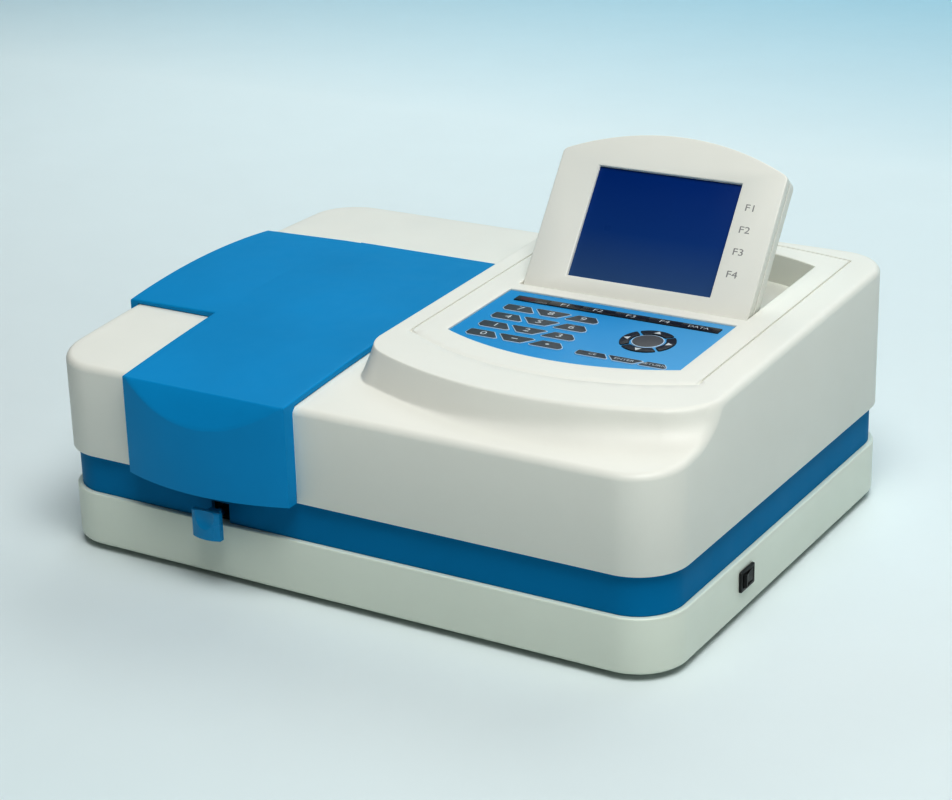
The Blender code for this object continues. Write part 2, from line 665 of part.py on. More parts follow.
def grown(outline, distance):
    """An outline moved outwards by a distance, corner by corner."""
    result = []
    count = len(outline)
    for i in range(count):
        before, here, after = (Vector(outline[j % count]) for j in (i - 1, i, i + 1))
        first, second = (here - before).normalized(), (after - here).normalized()
        normal = Vector((first.y + second.y, -first.x - second.x)).normalized()
        facing = normal.dot(Vector((first.y, -first.x)))
        result.append(tuple(here + normal * distance / max(facing, 0.3)))
    return result


def keypad_panel(keys):
    """The blue plate let into the console, with a window for each key."""
    panel = prism(panel_outline(0), -PANEL_THICK + 0.0002, 0.0002)
    for outline in keys.values():
        cut(panel, prism(grown(outline, KEY_CLEARANCE), -0.01, 0.01))
    return moved(panel, PANEL)


def key_solid(outline):
    return moved(prism(outline, KEY_RISE - KEY_LENGTH, KEY_RISE), PANEL)


def keypad_board():
    """The switch board under the keys."""
    return moved(prism(panel_outline(0.0015), -0.0062, -0.0046), PANEL)


# ---------------------------------------------------------------- display
def display_outline(inset, start):
    """The display's outline lying flat, measured from its pivot."""
    base = DISPLAY_TOE
    x0, x1 = DISPLAY_X0 + inset, DISPLAY_X1 - inset
    middle = (x0 + x1) / 2
    arch = arc_through((x1, base + DISPLAY_SIDE - inset), (middle, base + DISPLAY_APEX - inset),
                       (x0, base + DISPLAY_SIDE - inset), 12)
    return [(x0, start), (x1, start)] + arch


def display_bezel():
    """The display's front frame, its window, and the barrel that it turns on."""
    low = DISPLAY_HALF - BEZEL_THICK
    bezel = prism(display_outline(0, 0.0), low, DISPLAY_HALF)
    join(bezel, prism_x(circle((0, 0), DISPLAY_HALF - 0.00005, 24), DISPLAY_X0, DISPLAY_X1))
    cut(bezel, box(SCREEN_X0, SCREEN_X1, DISPLAY_TOE + SCREEN_U0, DISPLAY_TOE + SCREEN_U1, -0.02, 0.02))
    lip = 0.0042
    cut(bezel, box(SCREEN_X0 - lip, SCREEN_X1 + lip, DISPLAY_TOE + SCREEN_U0 - lip + 0.001,
                   DISPLAY_TOE + SCREEN_U1 + lip, -0.02, 0.0055))
    return cut(bezel, prism_x(circle((0, 0), DISPLAY_ROD + 0.0004, 16), 0.0, 0.3))


def display_back():
    """The display's rear shell, a little smaller than its front, hollow towards it."""
    top = DISPLAY_HALF - BEZEL_THICK - GAP
    shell = prism(display_outline(0.0012, DISPLAY_HALF + 0.0006), -DISPLAY_REAR, top)
    return cut(shell, prism(display_outline(0.0032, DISPLAY_HALF + 0.0026), -0.0078, top + 0.001))


def lcd_panel():
    """The liquid crystal module behind the window."""
    lip = 0.0038
    return box(SCREEN_X0 - lip, SCREEN_X1 + lip, DISPLAY_TOE + SCREEN_U0 - lip + 0.001,
               DISPLAY_TOE + SCREEN_U1 + lip, 0.0012, 0.0052)


def display_hinge_rod():
    return prism_x(circle((0, 0), DISPLAY_ROD, 16), DISPLAY_X0 - 0.0036, DISPLAY_X1 + 0.0036)


# ---------------------------------------------------------------- power switch
def switch_body():
    """The switch's housing: a bezel outside the wall and an open box inside it."""
    wall = BODY_W / 2 - TRAY_INSET
    half_l, half_t = SWITCH_LONG / 2, SWITCH_TALL / 2
    body = box(wall + GAP, SWITCH_FRONT, SWITCH_Y - half_l, SWITCH_Y + half_l,
               SWITCH_Z - half_t, SWITCH_Z + half_t)
    inner_l, inner_t = half_l - 0.0013, half_t - 0.0013
    join(body, box(0.2215, wall + 0.001, SWITCH_Y - inner_l, SWITCH_Y + inner_l,
                   SWITCH_Z - inner_t, SWITCH_Z + inner_t))
    return cut(body, box(0.2275, 0.25, SWITCH_Y - inner_l + 0.001, SWITCH_Y + inner_l - 0.001,
                         SWITCH_Z - inner_t + 0.001, SWITCH_Z + inner_t - 0.001))


def switch_rocker():
    """The rocker, with a shallow V across its face, built level about its axis."""
    half_t = SWITCH_TALL / 2 - 0.0027
    outline = [(-0.0030, -0.004), (-0.0030, 0.004), (0.0010, ROCKER_HALF), (ROCKER_TIP, ROCKER_HALF),
               (ROCKER_TIP - 0.0011, 0.0), (ROCKER_TIP, -ROCKER_HALF), (0.0010, -ROCKER_HALF)]
    return prism(outline, -half_t, half_t)


# ---------------------------------------------------------------- back panel and insides
def power_inlet():
    """The mains inlet: a flange, a socket and its three pins."""
    inlet = box(INLET_X - 0.017, INLET_X + 0.017, BODY_D / 2 - TRAY_INSET + GAP, INLET_BACK,
                INLET_Z - 0.013, INLET_Z + 0.013)
    join(inlet, box(INLET_X - 0.013, INLET_X + 0.013, 0.166, 0.185, INLET_Z - 0.010, INLET_Z + 0.010))
    cut(inlet, box(INLET_X - 0.011, INLET_X + 0.011, 0.1695, 0.19, INLET_Z - 0.008, INLET_Z + 0.008))
    for dx, dz in ((-0.007, -0.0035), (0.0, 0.0005), (0.007, -0.0035)):
        join(inlet, box(INLET_X + dx - 0.001, INLET_X + dx + 0.001, 0.168, 0.182,
                        INLET_Z + dz - 0.002, INLET_Z + dz + 0.002))
    return inlet


def main_board():
    """The control board with its signal port, which comes through the tray's back wall."""
    board = box(0.106, 0.166, 0.030, 0.172, 0.0120, 0.0136)
    join(board, box(PORT_X - 0.012, PORT_X + 0.012, 0.160, 0.1800, 0.0132, PORT_Z + 0.005))
    join(board, box(PORT_X - 0.011, PORT_X + 0.011, 0.170, 0.1862, PORT_Z - 0.0045, PORT_Z + 0.0045))
    join(board, box(PORT_X - 0.0165, PORT_X + 0.0165, 0.1795, 0.1838, PORT_Z - 0.006, PORT_Z + 0.006))
    join(board, box(0.112, 0.140, 0.060, 0.088, 0.0130, 0.0165))
    for x in (0.111, 0.161):
        for y in (0.036, 0.150):
            join(board, prism(circle((x, y), 0.0025, 10), WALL + GAP, 0.0130))
    return board


def power_supply():
    """The power supply: a vented metal case on the tray's floor."""
    case = box(0.112, 0.214, -0.044, 0.022, 0.0033, 0.052)
    for i in range(8):
        y = -0.036 + 0.0072 * i
        cut(case, box(0.125, 0.201, y, y + 0.003, 0.048, 0.06))
    return case


def fan_frame():
    """The fan's square frame with its round duct and the motor seat on three arms."""
    half = FAN_SIZE / 2
    y0, y1 = 0.1660, BODY_D / 2 - WALL - GAP
    frame = prism_y(rounded_rectangle(FAN_X - half, FAN_X + half, FAN_Z - half, FAN_Z + half, 0.004, 2),
                    y0, y1)
    cut(frame, prism_y(circle((FAN_X, FAN_Z), 0.0275, 32), 0.1, 0.2))
    join(frame, prism_y(circle((FAN_X, FAN_Z), 0.010, 20), y0, y0 + 0.002))
    for i in range(3):
        arm = box(0.009, 0.029, y0, y0 + 0.002, -0.0015, 0.0015)
        turn = Matrix.Translation((FAN_X, 0, FAN_Z)) @ Matrix.Rotation(2 * math.pi * i / 3, 4, "Y")
        join(frame, moved(arm, turn))
    return frame


def fan_rotor():
    """The fan's hub and seven blades, around its own axis."""
    hub = prism_y(circle((0, 0), 0.010, 20), -0.0045, 0.0060)
    blades = 7
    for i in range(blades):
        blade = box(0.009, 0.0258, -0.0010, 0.0010, -0.005, 0.005)
        turn = Matrix.Rotation(2 * math.pi * i / blades, 4, "Y") @ Matrix.Rotation(0.7, 4, "X")
        join(hub, moved(blade, turn))
    return keep(hub, prism_y(circle((0, 0), 0.0262, 32), -0.0045, 0.0060))


def optical_bench():
    """The aluminium plate that carries the optics, on six posts."""
    plate = box(-0.230, 0.100, -0.150, 0.162, 0.0140, 0.0190)
    for x in (-0.205, -0.060, 0.085):
        for y in (-0.110, 0.120):
            join(plate, prism(circle((x, y), 0.005, 12), WALL + GAP, 0.015))
    return plate


def lamp_house():
    """The lamp compartment: an open-topped box with a beam hole and vents."""
    house = box(-0.228, -0.150, 0.097, 0.160, 0.0193, 0.125)
    cut(house, box(-0.226, -0.152, 0.099, 0.158, 0.0213, 0.13))
    cut(house, prism_x(circle((0.128, BEAM_Z), 0.006, 16), -0.16, -0.14))
    for i in range(5):
        z = 0.080 + 0.008 * i
        cut(house, box(-0.213, -0.165, 0.15, 0.17, z, z + 0.003))
    return house


def deuterium_lamp():
    """The deuterium lamp: a glass envelope on its ceramic base."""
    base = prism(circle((-0.203, 0.128), 0.015, 20), 0.0216, 0.036)
    return join(base, prism(circle((-0.203, 0.128), 0.0125, 20), 0.035, 0.092))


def tungsten_lamp():
    """The tungsten halogen lamp: a small capsule on its socket."""
    base = prism(circle((-0.168, 0.128), 0.009, 16), 0.0216, 0.052)
    return join(base, prism(circle((-0.168, 0.128), 0.0055, 16), 0.051, 0.078))


def monochromator():
    """The monochromator's cast box, open at the top, with its entrance and exit slits."""
    case = box(-0.012, 0.098, 0.000, 0.160, 0.0193, 0.112)
    cut(case, box(-0.009, 0.095, 0.003, 0.157, 0.0228, 0.12))
    for y in (BEAM_Y, 0.128):
        cut(case, box(-0.02, 0.0, y - 0.002, y + 0.002, BEAM_Z - 0.008, BEAM_Z + 0.008))
    for y, turn in ((0.040, 0.12), (0.112, -0.12)):
        mirror = box(-0.003, 0.003, -0.020, 0.020, 0.0215, 0.095)
        join(case, moved(mirror, Matrix.Translation((0.080, y, 0)) @ Matrix.Rotation(turn, 4, "Z")))
    return case


def grating_turntable():
    """The turntable with the grating on it, around its upright axis."""
    table = prism(circle((0, 0), 0.018, 24), 0.0, 0.006)
    return join(table, box(-0.003, 0.003, -0.015, 0.015, 0.005, 0.062))


def detector():
    """The detector block with the bore that the beam enters."""
    block = box(-0.224, -0.176, -0.015, 0.045, 0.0193, 0.104)
    return cut(block, prism_x(circle((BEAM_Y, BEAM_Z), 0.006, 16), -0.200, -0.17))


# ---------------------------------------------------------------- assembly
def build():
    for thing in list(bpy.data.objects):
        bpy.data.objects.remove(thing)
    paint = {name: finish(name, *values) for name, values in FINISHES.items()}
    root = bpy.data.objects.new("spectrophotometer", None)
    bpy.context.scene.collection.objects.link(root)
    root.location = SHIFT

    def add(name, thing, material, pivot=(0, 0, 0)):
        return place(name, thing, paint[material], root, pivot)

    add("base_tray", base_tray(), "tray_white")
    add("band_frame", band_frame(), "lid_blue")
    add("upper_casing", upper_casing(), "casing_white")
    for name, x, y in (("foot_front_left", -FOOT_X, -FOOT_Y), ("foot_front_right", FOOT_X, -FOOT_Y),
                       ("foot_back_left", -FOOT_X, FOOT_Y), ("foot_back_right", FOOT_X, FOOT_Y)):
        add(name, moved(foot(), Matrix.Translation((x, y, 0))), "rubber")

    lid_pivot = (0, LID_PIVOT_Y, LID_PIVOT_Z)
    add("sample_lid", sample_lid(), "lid_blue", lid_pivot)
    add("light_baffle", light_baffle(), "black_plastic", lid_pivot)
    add("lid_hinge_rod", lid_hinge_rod(), "steel")

    add("sample_tub", sample_tub(), "black_metal")
    add("cell_carriage", cell_carriage(), "black_metal")
    add("sample_cuvette", cuvette(), "glass")
    add("pull_rod", pull_rod(), "steel")
    add("pull_knob", pull_knob(), "lid_blue")

    keys = key_outlines()
    add("keypad_panel", keypad_panel(keys), "membrane_blue")
    add("keypad_board", keypad_board(), "circuit_board")
    for name, outline in keys.items():
        middle = sum((Vector(point) for point in outline), Vector((0, 0))) / len(outline)
        add(name, key_solid(outline), "key_grey", PANEL @ Vector((middle.x, middle.y, 0)))

    raised = Matrix.Rotation(RIM_TILT + DISPLAY_OPEN, 4, "X")
    for name, thing, material in (("display_bezel", display_bezel(), "casing_white"),
                                  ("display_back", display_back(), "casing_white"),
                                  ("lcd_panel", lcd_panel(), "screen"),
                                  ("display_hinge_rod", display_hinge_rod(), "steel")):
        piece = add(name, thing, material)
        piece.location = DISPLAY_PIVOT
        piece.rotation_euler = raised.to_euler()

    add("switch_body", switch_body(), "black_plastic")
    rocker = add("switch_rocker", switch_rocker(), "black_plastic")
    rocker.location = (ROCKER_AXIS_X, SWITCH_Y, SWITCH_Z)
    rocker.rotation_euler = (0, 0, ROCKER_REST)

    add("power_inlet", power_inlet(), "black_plastic")
    add("main_board", main_board(), "circuit_board")
    add("power_supply", power_supply(), "aluminium")
    add("fan_frame", fan_frame(), "black_plastic")
    rotor = add("fan_rotor", fan_rotor(), "black_plastic")
    rotor.location = (FAN_X, 0.1735, FAN_Z)
    add("optical_bench", optical_bench(), "aluminium")
    add("lamp_house", lamp_house(), "aluminium")
    add("deuterium_lamp", deuterium_lamp(), "glass")
    add("tungsten_lamp", tungsten_lamp(), "glass")
    add("monochromator", monochromator(), "black_metal")
    table = add("grating_turntable", grating_turntable(), "black_metal")
    table.location = (0.040, 0.080, 0.0232)
    add("detector", detector(), "black_metal")


build()
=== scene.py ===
"""Looks of a benchtop spectrophotometer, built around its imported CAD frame.

Lengths are metres. The pieces are drawn in the casing's frame: X to the right, Y to the back, Z up from
the underside of the tray, at the centre of the footprint. `home` moves a piece from there to the frame.
"""
import math

import bmesh
import bpy
import numpy as np
from mathutils import Matrix, Vector
from mathutils.geometry import delaunay_2d_cdt


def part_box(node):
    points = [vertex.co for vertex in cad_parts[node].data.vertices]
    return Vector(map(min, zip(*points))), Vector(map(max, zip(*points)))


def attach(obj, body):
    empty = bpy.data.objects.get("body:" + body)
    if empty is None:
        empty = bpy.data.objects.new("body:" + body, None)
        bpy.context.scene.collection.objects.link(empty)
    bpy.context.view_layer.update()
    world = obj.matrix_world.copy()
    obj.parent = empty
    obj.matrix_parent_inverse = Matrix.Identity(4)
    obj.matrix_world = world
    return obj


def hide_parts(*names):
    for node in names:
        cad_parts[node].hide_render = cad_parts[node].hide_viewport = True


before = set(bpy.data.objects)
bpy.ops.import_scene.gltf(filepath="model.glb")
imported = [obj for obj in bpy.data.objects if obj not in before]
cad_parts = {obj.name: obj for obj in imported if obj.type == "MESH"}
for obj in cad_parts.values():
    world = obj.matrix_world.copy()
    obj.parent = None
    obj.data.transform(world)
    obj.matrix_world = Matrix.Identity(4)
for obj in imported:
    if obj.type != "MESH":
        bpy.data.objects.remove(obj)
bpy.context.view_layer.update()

# ---- driving dimensions
TRAY_LOW, TRAY_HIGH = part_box("base_tray")
ORIGIN = Vector(((TRAY_LOW.x + TRAY_HIGH.x) / 2, (TRAY_LOW.y + TRAY_HIGH.y) / 2, TRAY_LOW.z))
TRAY_INSET = 0.0005
HALF_W = (TRAY_HIGH.x - TRAY_LOW.x + 2 * TRAY_INSET) / 2
HALF_D = (TRAY_HIGH.y - TRAY_LOW.y + 2 * TRAY_INSET) / 2
BODY_RADIUS = 0.036
WALL = 0.003
TRAY_TOP = TRAY_HIGH.z - TRAY_LOW.z
BAND_INSET = 0.004
BAND_TOP = 0.0677
LEDGE = 0.009

DECK_FRONT = 0.1352
DECK_RISE = 0.1055
DECK_CURVE = -0.1712
EDGE_RADIUS = 0.0048

RIM_Z = 0.165
RIM_TILT = math.atan(0.038)
EDGE_CRISP, EDGE_SOFT = 0.0013, 0.0042
TOE_CRISP, TOE_SOFT = 0.0016, 0.0190
GROOVE_WIDE, GROOVE_DEEP = 0.0008, 0.0022
CREASE_WIDE, CREASE_DEEP = 0.0013, 0.00036
WELL_DEPTH = 0.022
WELL_GAP = 0.0008
SHORTEST_RUN = 0.0012
SOFTEN_FROM, SOFTEN_OVER = 0.020, 0.180
CREASE_FROM, CREASE_OVER = -0.079, 0.009

LID_FRONT = -0.194
LID_BULGE = 0.012
LID_LEFT_FRONT, LID_LEFT_BACK = -0.163, -0.168
LID_RIGHT = -0.030
LID_RISE = 0.0046
LID_SKIN = 0.0024
LID_EDGE = 0.0013
WING_LEFT, WING_FRONT, WING_BACK = -0.244, -0.083, 0.0885
WING_FLANGE = 0.012
SCOOP_TOP, SCOOP_LOW = 0.1405, 0.1165

PANEL_X0, PANEL_X1 = 0.020, 0.194
PANEL_Y0, PANEL_Y1 = -0.070, 0.015
PANEL_ARC = -0.090
PAD_DEPTH = 0.0023

DISPLAY_X0, DISPLAY_X1 = 0.0207, 0.1949
DISPLAY_EDGE_Y = 0.0315
DISPLAY_OPEN = math.radians(51.12)
DISPLAY_SIDE, DISPLAY_APEX = 0.103, 0.1221
DISPLAY_HALF, DISPLAY_REAR = 0.008, 0.0098
BEZEL_THICK = 0.007
SCREEN_X0, SCREEN_X1 = 0.0524, 0.163
SCREEN_U0, SCREEN_U1 = 0.0101, 0.0934

SWITCH_AT, SWITCH_HALF = (-0.064, 0.0235), (0.0105, 0.00725)
SWITCH_FRONT, ROCKER_X = 0.2414, 0.2365
INLET_AT, PORT_AT = (0.185, 0.019), (0.132, 0.0205)
ROD_SLOT = (-0.1048, -0.0902)
FOOT_X, FOOT_Y = 0.185, 0.135

PANEL = Matrix.Translation((0, 0, RIM_Z)) @ Matrix.Rotation(RIM_TILT, 4, "X")
SHARP = math.radians(32)
LINE_MARGIN, LOOSE_MARGIN = 0.0002, 0.0018


# ---- outlines
def arc_points(centre, radius, start, end, steps):
    """Points on a circle from one angle to another, both in degrees, ends included."""
    angles = [math.radians(start + (end - start) * i / steps) for i in range(steps + 1)]
    return [(centre[0] + radius * math.cos(a), centre[1] + radius * math.sin(a)) for a in angles]


def arc_through(first, middle, last, steps):
    """Points on the circle through three points, from the first to the last."""
    (ax, ay), (bx, by), (cx, cy) = first, middle, last
    d = 2 * (ax * (by - cy) + bx * (cy - ay) + cx * (ay - by))
    sa, sb, sc = ax * ax + ay * ay, bx * bx + by * by, cx * cx + cy * cy
    ux = (sa * (by - cy) + sb * (cy - ay) + sc * (ay - by)) / d
    uy = (sa * (cx - bx) + sb * (ax - cx) + sc * (bx - ax)) / d
    radius = math.hypot(ax - ux, ay - uy)
    start = math.atan2(ay - uy, ax - ux)
    to_middle = (math.atan2(by - uy, bx - ux) - start) % (2 * math.pi)
    sweep = (math.atan2(cy - uy, cx - ux) - start) % (2 * math.pi)
    if to_middle > sweep:
        sweep -= 2 * math.pi
    angles = [start + sweep * i / steps for i in range(steps + 1)]
    return [(ux + radius * math.cos(a), uy + radius * math.sin(a)) for a in angles]


def quarter(steps):
    """Angles of a quarter turn, both ends included."""
    return [math.pi / 2 * i / steps for i in range(steps + 1)]


def rectangle(x0, x1, y0, y1):
    """A rectangle's corners, counter-clockwise."""
    return [(x0, y0), (x1, y0), (x1, y1), (x0, y1)]


def around(middle, half):
    """The four ends of a rectangle about its middle, in the order that the others take them."""
    return middle[0] - half[0], middle[0] + half[0], middle[1] - half[1], middle[1] + half[1]


def rounded_rectangle(x0, x1, y0, y1, radius, steps):
    """A rectangle with round corners, counter-clockwise."""
    corners = ((x1 - radius, y0 + radius, -90), (x1 - radius, y1 - radius, 0),
               (x0 + radius, y1 - radius, 90), (x0 + radius, y0 + radius, 180))
    points = []
    for cx, cy, start in corners:
        points += arc_points((cx, cy), radius, start, start + 90, steps)
    return points


def circle(centre, radius, steps):
    """A whole circle, counter-clockwise."""
    return arc_points(centre, radius, 0, 360 - 360 / steps, steps - 1)


def refined(points, spacing, closed=True):
    """The same outline with extra points, so that none of its sides is longer than the spacing."""
    result = []
    ends = points[1:] + points[:1] if closed else points[1:]
    for here, after in zip(points, ends):
        length = math.hypot(after[0] - here[0], after[1] - here[1])
        count = max(1, math.ceil(length / spacing))
        result += [(here[0] + (after[0] - here[0]) * i / count, here[1] + (after[1] - here[1]) * i / count)
                   for i in range(count)]
    return result if closed else result + [points[-1]]


def grown(outline, distance):
    """A counter-clockwise outline moved outwards by a distance, corner by corner."""
    here = np.array(outline, float)
    first = here - np.roll(here, 1, axis=0)
    second = np.roll(here, -1, axis=0) - here
    first /= np.linalg.norm(first, axis=1)[:, None]
    second /= np.linalg.norm(second, axis=1)[:, None]
    normal = np.stack((first[:, 1] + second[:, 1], -first[:, 0] - second[:, 0]), axis=1)
    normal /= np.linalg.norm(normal, axis=1)[:, None]
    facing = normal[:, 0] * first[:, 1] - normal[:, 1] * first[:, 0]
    return [tuple(p) for p in here + normal * (distance / np.maximum(facing, 0.4))[:, None]]


def footprint(inset):
    """The casing's rounded footprint, moved inwards, always with the same number of points."""
    outer = refined(rounded_rectangle(-HALF_W, HALF_W, -HALF_D, HALF_D, BODY_RADIUS, 24), 0.0022)
    result = []
    for x, y in outer:
        cx = min(max(x, -HALF_W + BODY_RADIUS), HALF_W - BODY_RADIUS)
        cy = min(max(y, -HALF_D + BODY_RADIUS), HALF_D - BODY_RADIUS)
        length = math.hypot(x - cx, y - cy)
        share = (length - inset) / length
        result.append((cx + (x - cx) * share, cy + (y - cy) * share))
    return result


def inside(points, outline):
    """Whether each point lies inside an outline."""
    x, y = np.asarray(points, float).reshape(-1, 2).T
    ring = np.asarray(outline, float)
    found = np.zeros(len(x), bool)
    for (ax, ay), (bx, by) in zip(ring, np.roll(ring, -1, axis=0)):
        if ay == by:
            continue
        crosses = (ay > y) != (by > y)
        found ^= crosses & (x < (bx - ax) * (y - ay) / (by - ay) + ax)
    return found


def distance(points, line, closed=False):
    """Each point's distance to a polyline."""
    p = np.asarray(points, float).reshape(-1, 2)
    ring = np.asarray(line + line[:1] if closed else line, float)
    best = np.full(len(p), np.inf)
    for a, b in zip(ring[:-1], ring[1:]):
        d = b - a
        t = np.clip(((p - a) @ d) / (d @ d), 0, 1)
        best = np.minimum(best, np.linalg.norm(p - a - t[:, None] * d, axis=1))
    return best


# ---- surfaces
def rounded_drop(depth, radius):
    """How far a vertical edge's rounding has fallen at a distance in from the edge."""
    left = np.clip(radius - np.asarray(depth, float), 0, radius)
    return radius - np.sqrt(radius * radius - left * left)


def soft_min(a, b, width):
    """The smaller of two values, with the crease between them rounded."""
    near = np.maximum(width - np.abs(a - b), 0) / width
    return np.minimum(a, b) - near * near * width / 4


def smooth_step(value):
    """Nought to one along a curve that is level at both ends."""
    t = np.clip(value, 0, 1)
    return t * t * (3 - 2 * t)


class Skin:
    """A closed surface put together from loops, the strips between them and the caps that fill them."""

    def __init__(self):
        self.points, self.faces = [], []

    def loop(self, points):
        """Adds points. Returns their indices."""
        start = len(self.points)
        self.points += [tuple(float(c) for c in p) for p in points]
        return list(range(start, len(self.points)))

    def bridge(self, low, high):
        """The strip between two loops of the same number of points."""
        count = len(low)
        for i in range(count):
            j = (i + 1) % count
            self.faces.append((low[i], low[j], high[j], high[i]))

    def lathe(self, loops):
        """Strips between each loop and the next, given as points. Returns the loops' indices."""
        made = [self.loop(points) for points in loops]
        for low, high in zip(made, made[1:]):
            self.bridge(low, high)
        return made

    def cap(self, outer, holes=(), lines=(), loose=(), height=None, flip=False):
        """Fills the outer loop except for its holes, through extra lines and points, seen from above."""
        rings = [outer, *holes]
        flat, edges, known = [], [], []
        for ring in rings:
            start = len(flat)
            flat += [Vector(self.points[i][:2]) * 1000 for i in ring]
            known += ring
            edges += [(start + i, start + (i + 1) % len(ring)) for i in range(len(ring))]
        outlines = [[self.points[i][:2] for i in ring] for ring in rings]

        def free(points, margin):
            keep = inside(points, outlines[0]) & (distance(points, outlines[0], True) > margin)
            for hole in outlines[1:]:
                keep &= ~inside(points, hole) & (distance(points, hole, True) > margin)
            return keep

        for line in lines:
            keep = free(line, LINE_MARGIN)
            start, before = len(flat), False
            for point, kept in zip(line, keep):
                if kept:
                    if before:
                        edges.append((len(flat) - 1, len(flat)))
                    flat.append(Vector(point) * 1000)
                before = kept
        if len(loose):
            keep = free(loose, LOOSE_MARGIN)
            for line in lines:
                keep &= distance(loose, line) > LOOSE_MARGIN
            flat += [Vector(point) * 1000 for point, kept in zip(loose, keep) if kept]
        made, _, faces, origins, _, _ = delaunay_2d_cdt(flat, edges, [], 0, 0.0005)
        ours = [[o for o in origin if o < len(known)] for origin in origins]
        index = [known[o[0]] if o else None for o in ours]
        fresh = [i for i, old in enumerate(index) if old is None]
        if fresh:
            flat_points = np.array([[made[i].x / 1000, made[i].y / 1000] for i in fresh])
            for i, (x, y), z in zip(fresh, flat_points, height(flat_points)):
                index[i] = len(self.points)
                self.points.append((float(x), float(y), float(z)))
        centres = np.array([[sum(made[i].x for i in f) / len(f), sum(made[i].y for i in f) / len(f)]
                            for f in faces]) / 1000
        keep = inside(centres, outlines[0])
        for hole in outlines[1:]:
            keep &= ~inside(centres, hole)
        for face, kept in zip(faces, keep):
            if kept:
                ring = [index[i] for i in face]
                self.faces.append(tuple(reversed(ring)) if flip else tuple(ring))

    def thing(self, name, *materials):
        """The scene object that owns this surface."""
        mesh = bpy.data.meshes.new(name)
        mesh.from_pydata(self.points, [], self.faces)
        bm = bmesh.new()
        bm.from_mesh(mesh)
        bmesh.ops.delete(bm, geom=[v for v in bm.verts if not v.link_faces], context="VERTS")
        bmesh.ops.recalc_face_normals(bm, faces=bm.faces)
        bm.to_mesh(mesh)
        bm.free()
        return finished(name, mesh, materials)


def finished(name, mesh, materials):
    """The object that owns a mesh, with its materials and its shading."""
    thing = bpy.data.objects.new(name, mesh)
    bpy.context.scene.collection.objects.link(thing)
    for material in materials:
        mesh.materials.append(material)
    return shaded(thing)


def shaded(thing, sharp=SHARP):
    """Smooth shading, except across edges that turn by more than an angle."""
    thing.data.shade_smooth()
    thing.data.set_sharp_from_angle(angle=sharp)
    return thing


def lofted(name, loops, *materials):
    """A closed solid through loops of the same number of points, with flat ends."""
    skin = Skin()
    made = skin.lathe(loops)
    skin.faces += [tuple(reversed(made[0])), tuple(made[-1])]
    return skin.thing(name, *materials)


def level(outline, z):
    """An outline of X and Y at a height."""
    return [(x, y, z) for x, y in outline]


def facing_x(outline, x):
    """An outline of Y and Z at a place on X."""
    return [(x, y, z) for y, z in outline]


def facing_y(outline, y):
    """An outline of X and Z at a place on Y."""
    return [(x, y, z) for x, z in outline]


def pillow(outline, z0, z1, radius, steps):
    """Loops of an upright solid on an outline whose top edge is rounded."""
    return [level(outline, z0)] + [
        level(grown(outline, -radius * (1 - math.cos(a))), z1 - radius + radius * math.sin(a))
        for a in quarter(steps)]


def both_rounded(outline, z0, z1, radius, steps):
    """Loops of an upright solid on an outline whose top and bottom edges are both rounded."""
    low = [(1 - math.sin(a), z0 + radius * (1 - math.cos(a))) for a in quarter(steps)]
    high = [(1 - math.cos(a), z1 - radius * (1 - math.sin(a))) for a in quarter(steps)]
    return [level(grown(outline, -radius * share), z) for share, z in low + high]


def moved(thing, matrix):
    """A piece whose mesh has been moved."""
    thing.data.transform(matrix)
    return thing


def boolean(thing, other, operation):
    """Cuts another piece out of a piece, or joins it on. The other is used up."""
    modifier = thing.modifiers.new("shape", "BOOLEAN")
    modifier.operation = operation
    modifier.solver = "EXACT"
    modifier.object = other
    graph = bpy.context.evaluated_depsgraph_get()
    mesh = bpy.data.meshes.new_from_object(thing.evaluated_get(graph))
    thing.modifiers.clear()
    old, used = thing.data, other.data
    name = old.name
    thing.data = mesh
    bpy.data.objects.remove(other)
    bpy.data.meshes.remove(old)
    bpy.data.meshes.remove(used)
    mesh.name = name
    return shaded(thing)


def cut(thing, *others):
    """A piece with others cut out of it, one after another."""
    for other in others:
        boolean(thing, other, "DIFFERENCE")
    return thing


def join(thing, *others):
    """A piece with others joined on, one after another."""
    for other in others:
        boolean(thing, other, "UNION")
    return thing


def box(x0, x1, y0, y1, z0, z1):
    """A block to cut or join with."""
    outline = rectangle(x0, x1, y0, y1)
    return lofted("cutter", [level(outline, z0), level(outline, z1)])


def prism_x(outline, x0, x1):
    """An outline of Y and Z drawn out along X, to cut or join with."""
    return lofted("cutter", [facing_x(outline, x0), facing_x(outline, x1)])


def prism_y(outline, y0, y1):
    """An outline of X and Z drawn out along Y, to cut or join with."""
    return lofted("cutter", [facing_y(outline, y0), facing_y(outline, y1)])


def home(thing, body, *nodes, slot=None):
    """Moves a piece from the casing's frame to the CAD frame, ties it to its body, and hides the CAD nodes
    that it stands in for.
    """
    thing.data.transform(Matrix.Translation(ORIGIN))
    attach(thing, body)
    if nodes:
        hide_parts(*nodes)
    return thing


# ---- materials
def node(tree, kind, **settings):
    """A new shader node with some of its settings changed."""
    made = tree.nodes.new(kind)
    for key, value in settings.items():
        setattr(made, key, value)
    return made


def noise(tree, place, scale, detail):
    """Noise over the object's own coordinates."""
    made = node(tree, "ShaderNodeTexNoise")
    made.inputs["Scale"].default_value = scale
    made.inputs["Detail"].default_value = detail
    tree.links.new(place.outputs["Object"], made.inputs["Vector"])
    return made.outputs["Fac"]


def spread(tree, source, start, end, low=0.0, high=1.0):
    """A value that runs from low to high while its source runs from start to end."""
    made = node(tree, "ShaderNodeMapRange")
    for socket, value in (("From Min", start), ("From Max", end), ("To Min", low), ("To Max", high)):
        made.inputs[socket].default_value = value
    tree.links.new(source, made.inputs["Value"])
    return made.outputs["Result"]


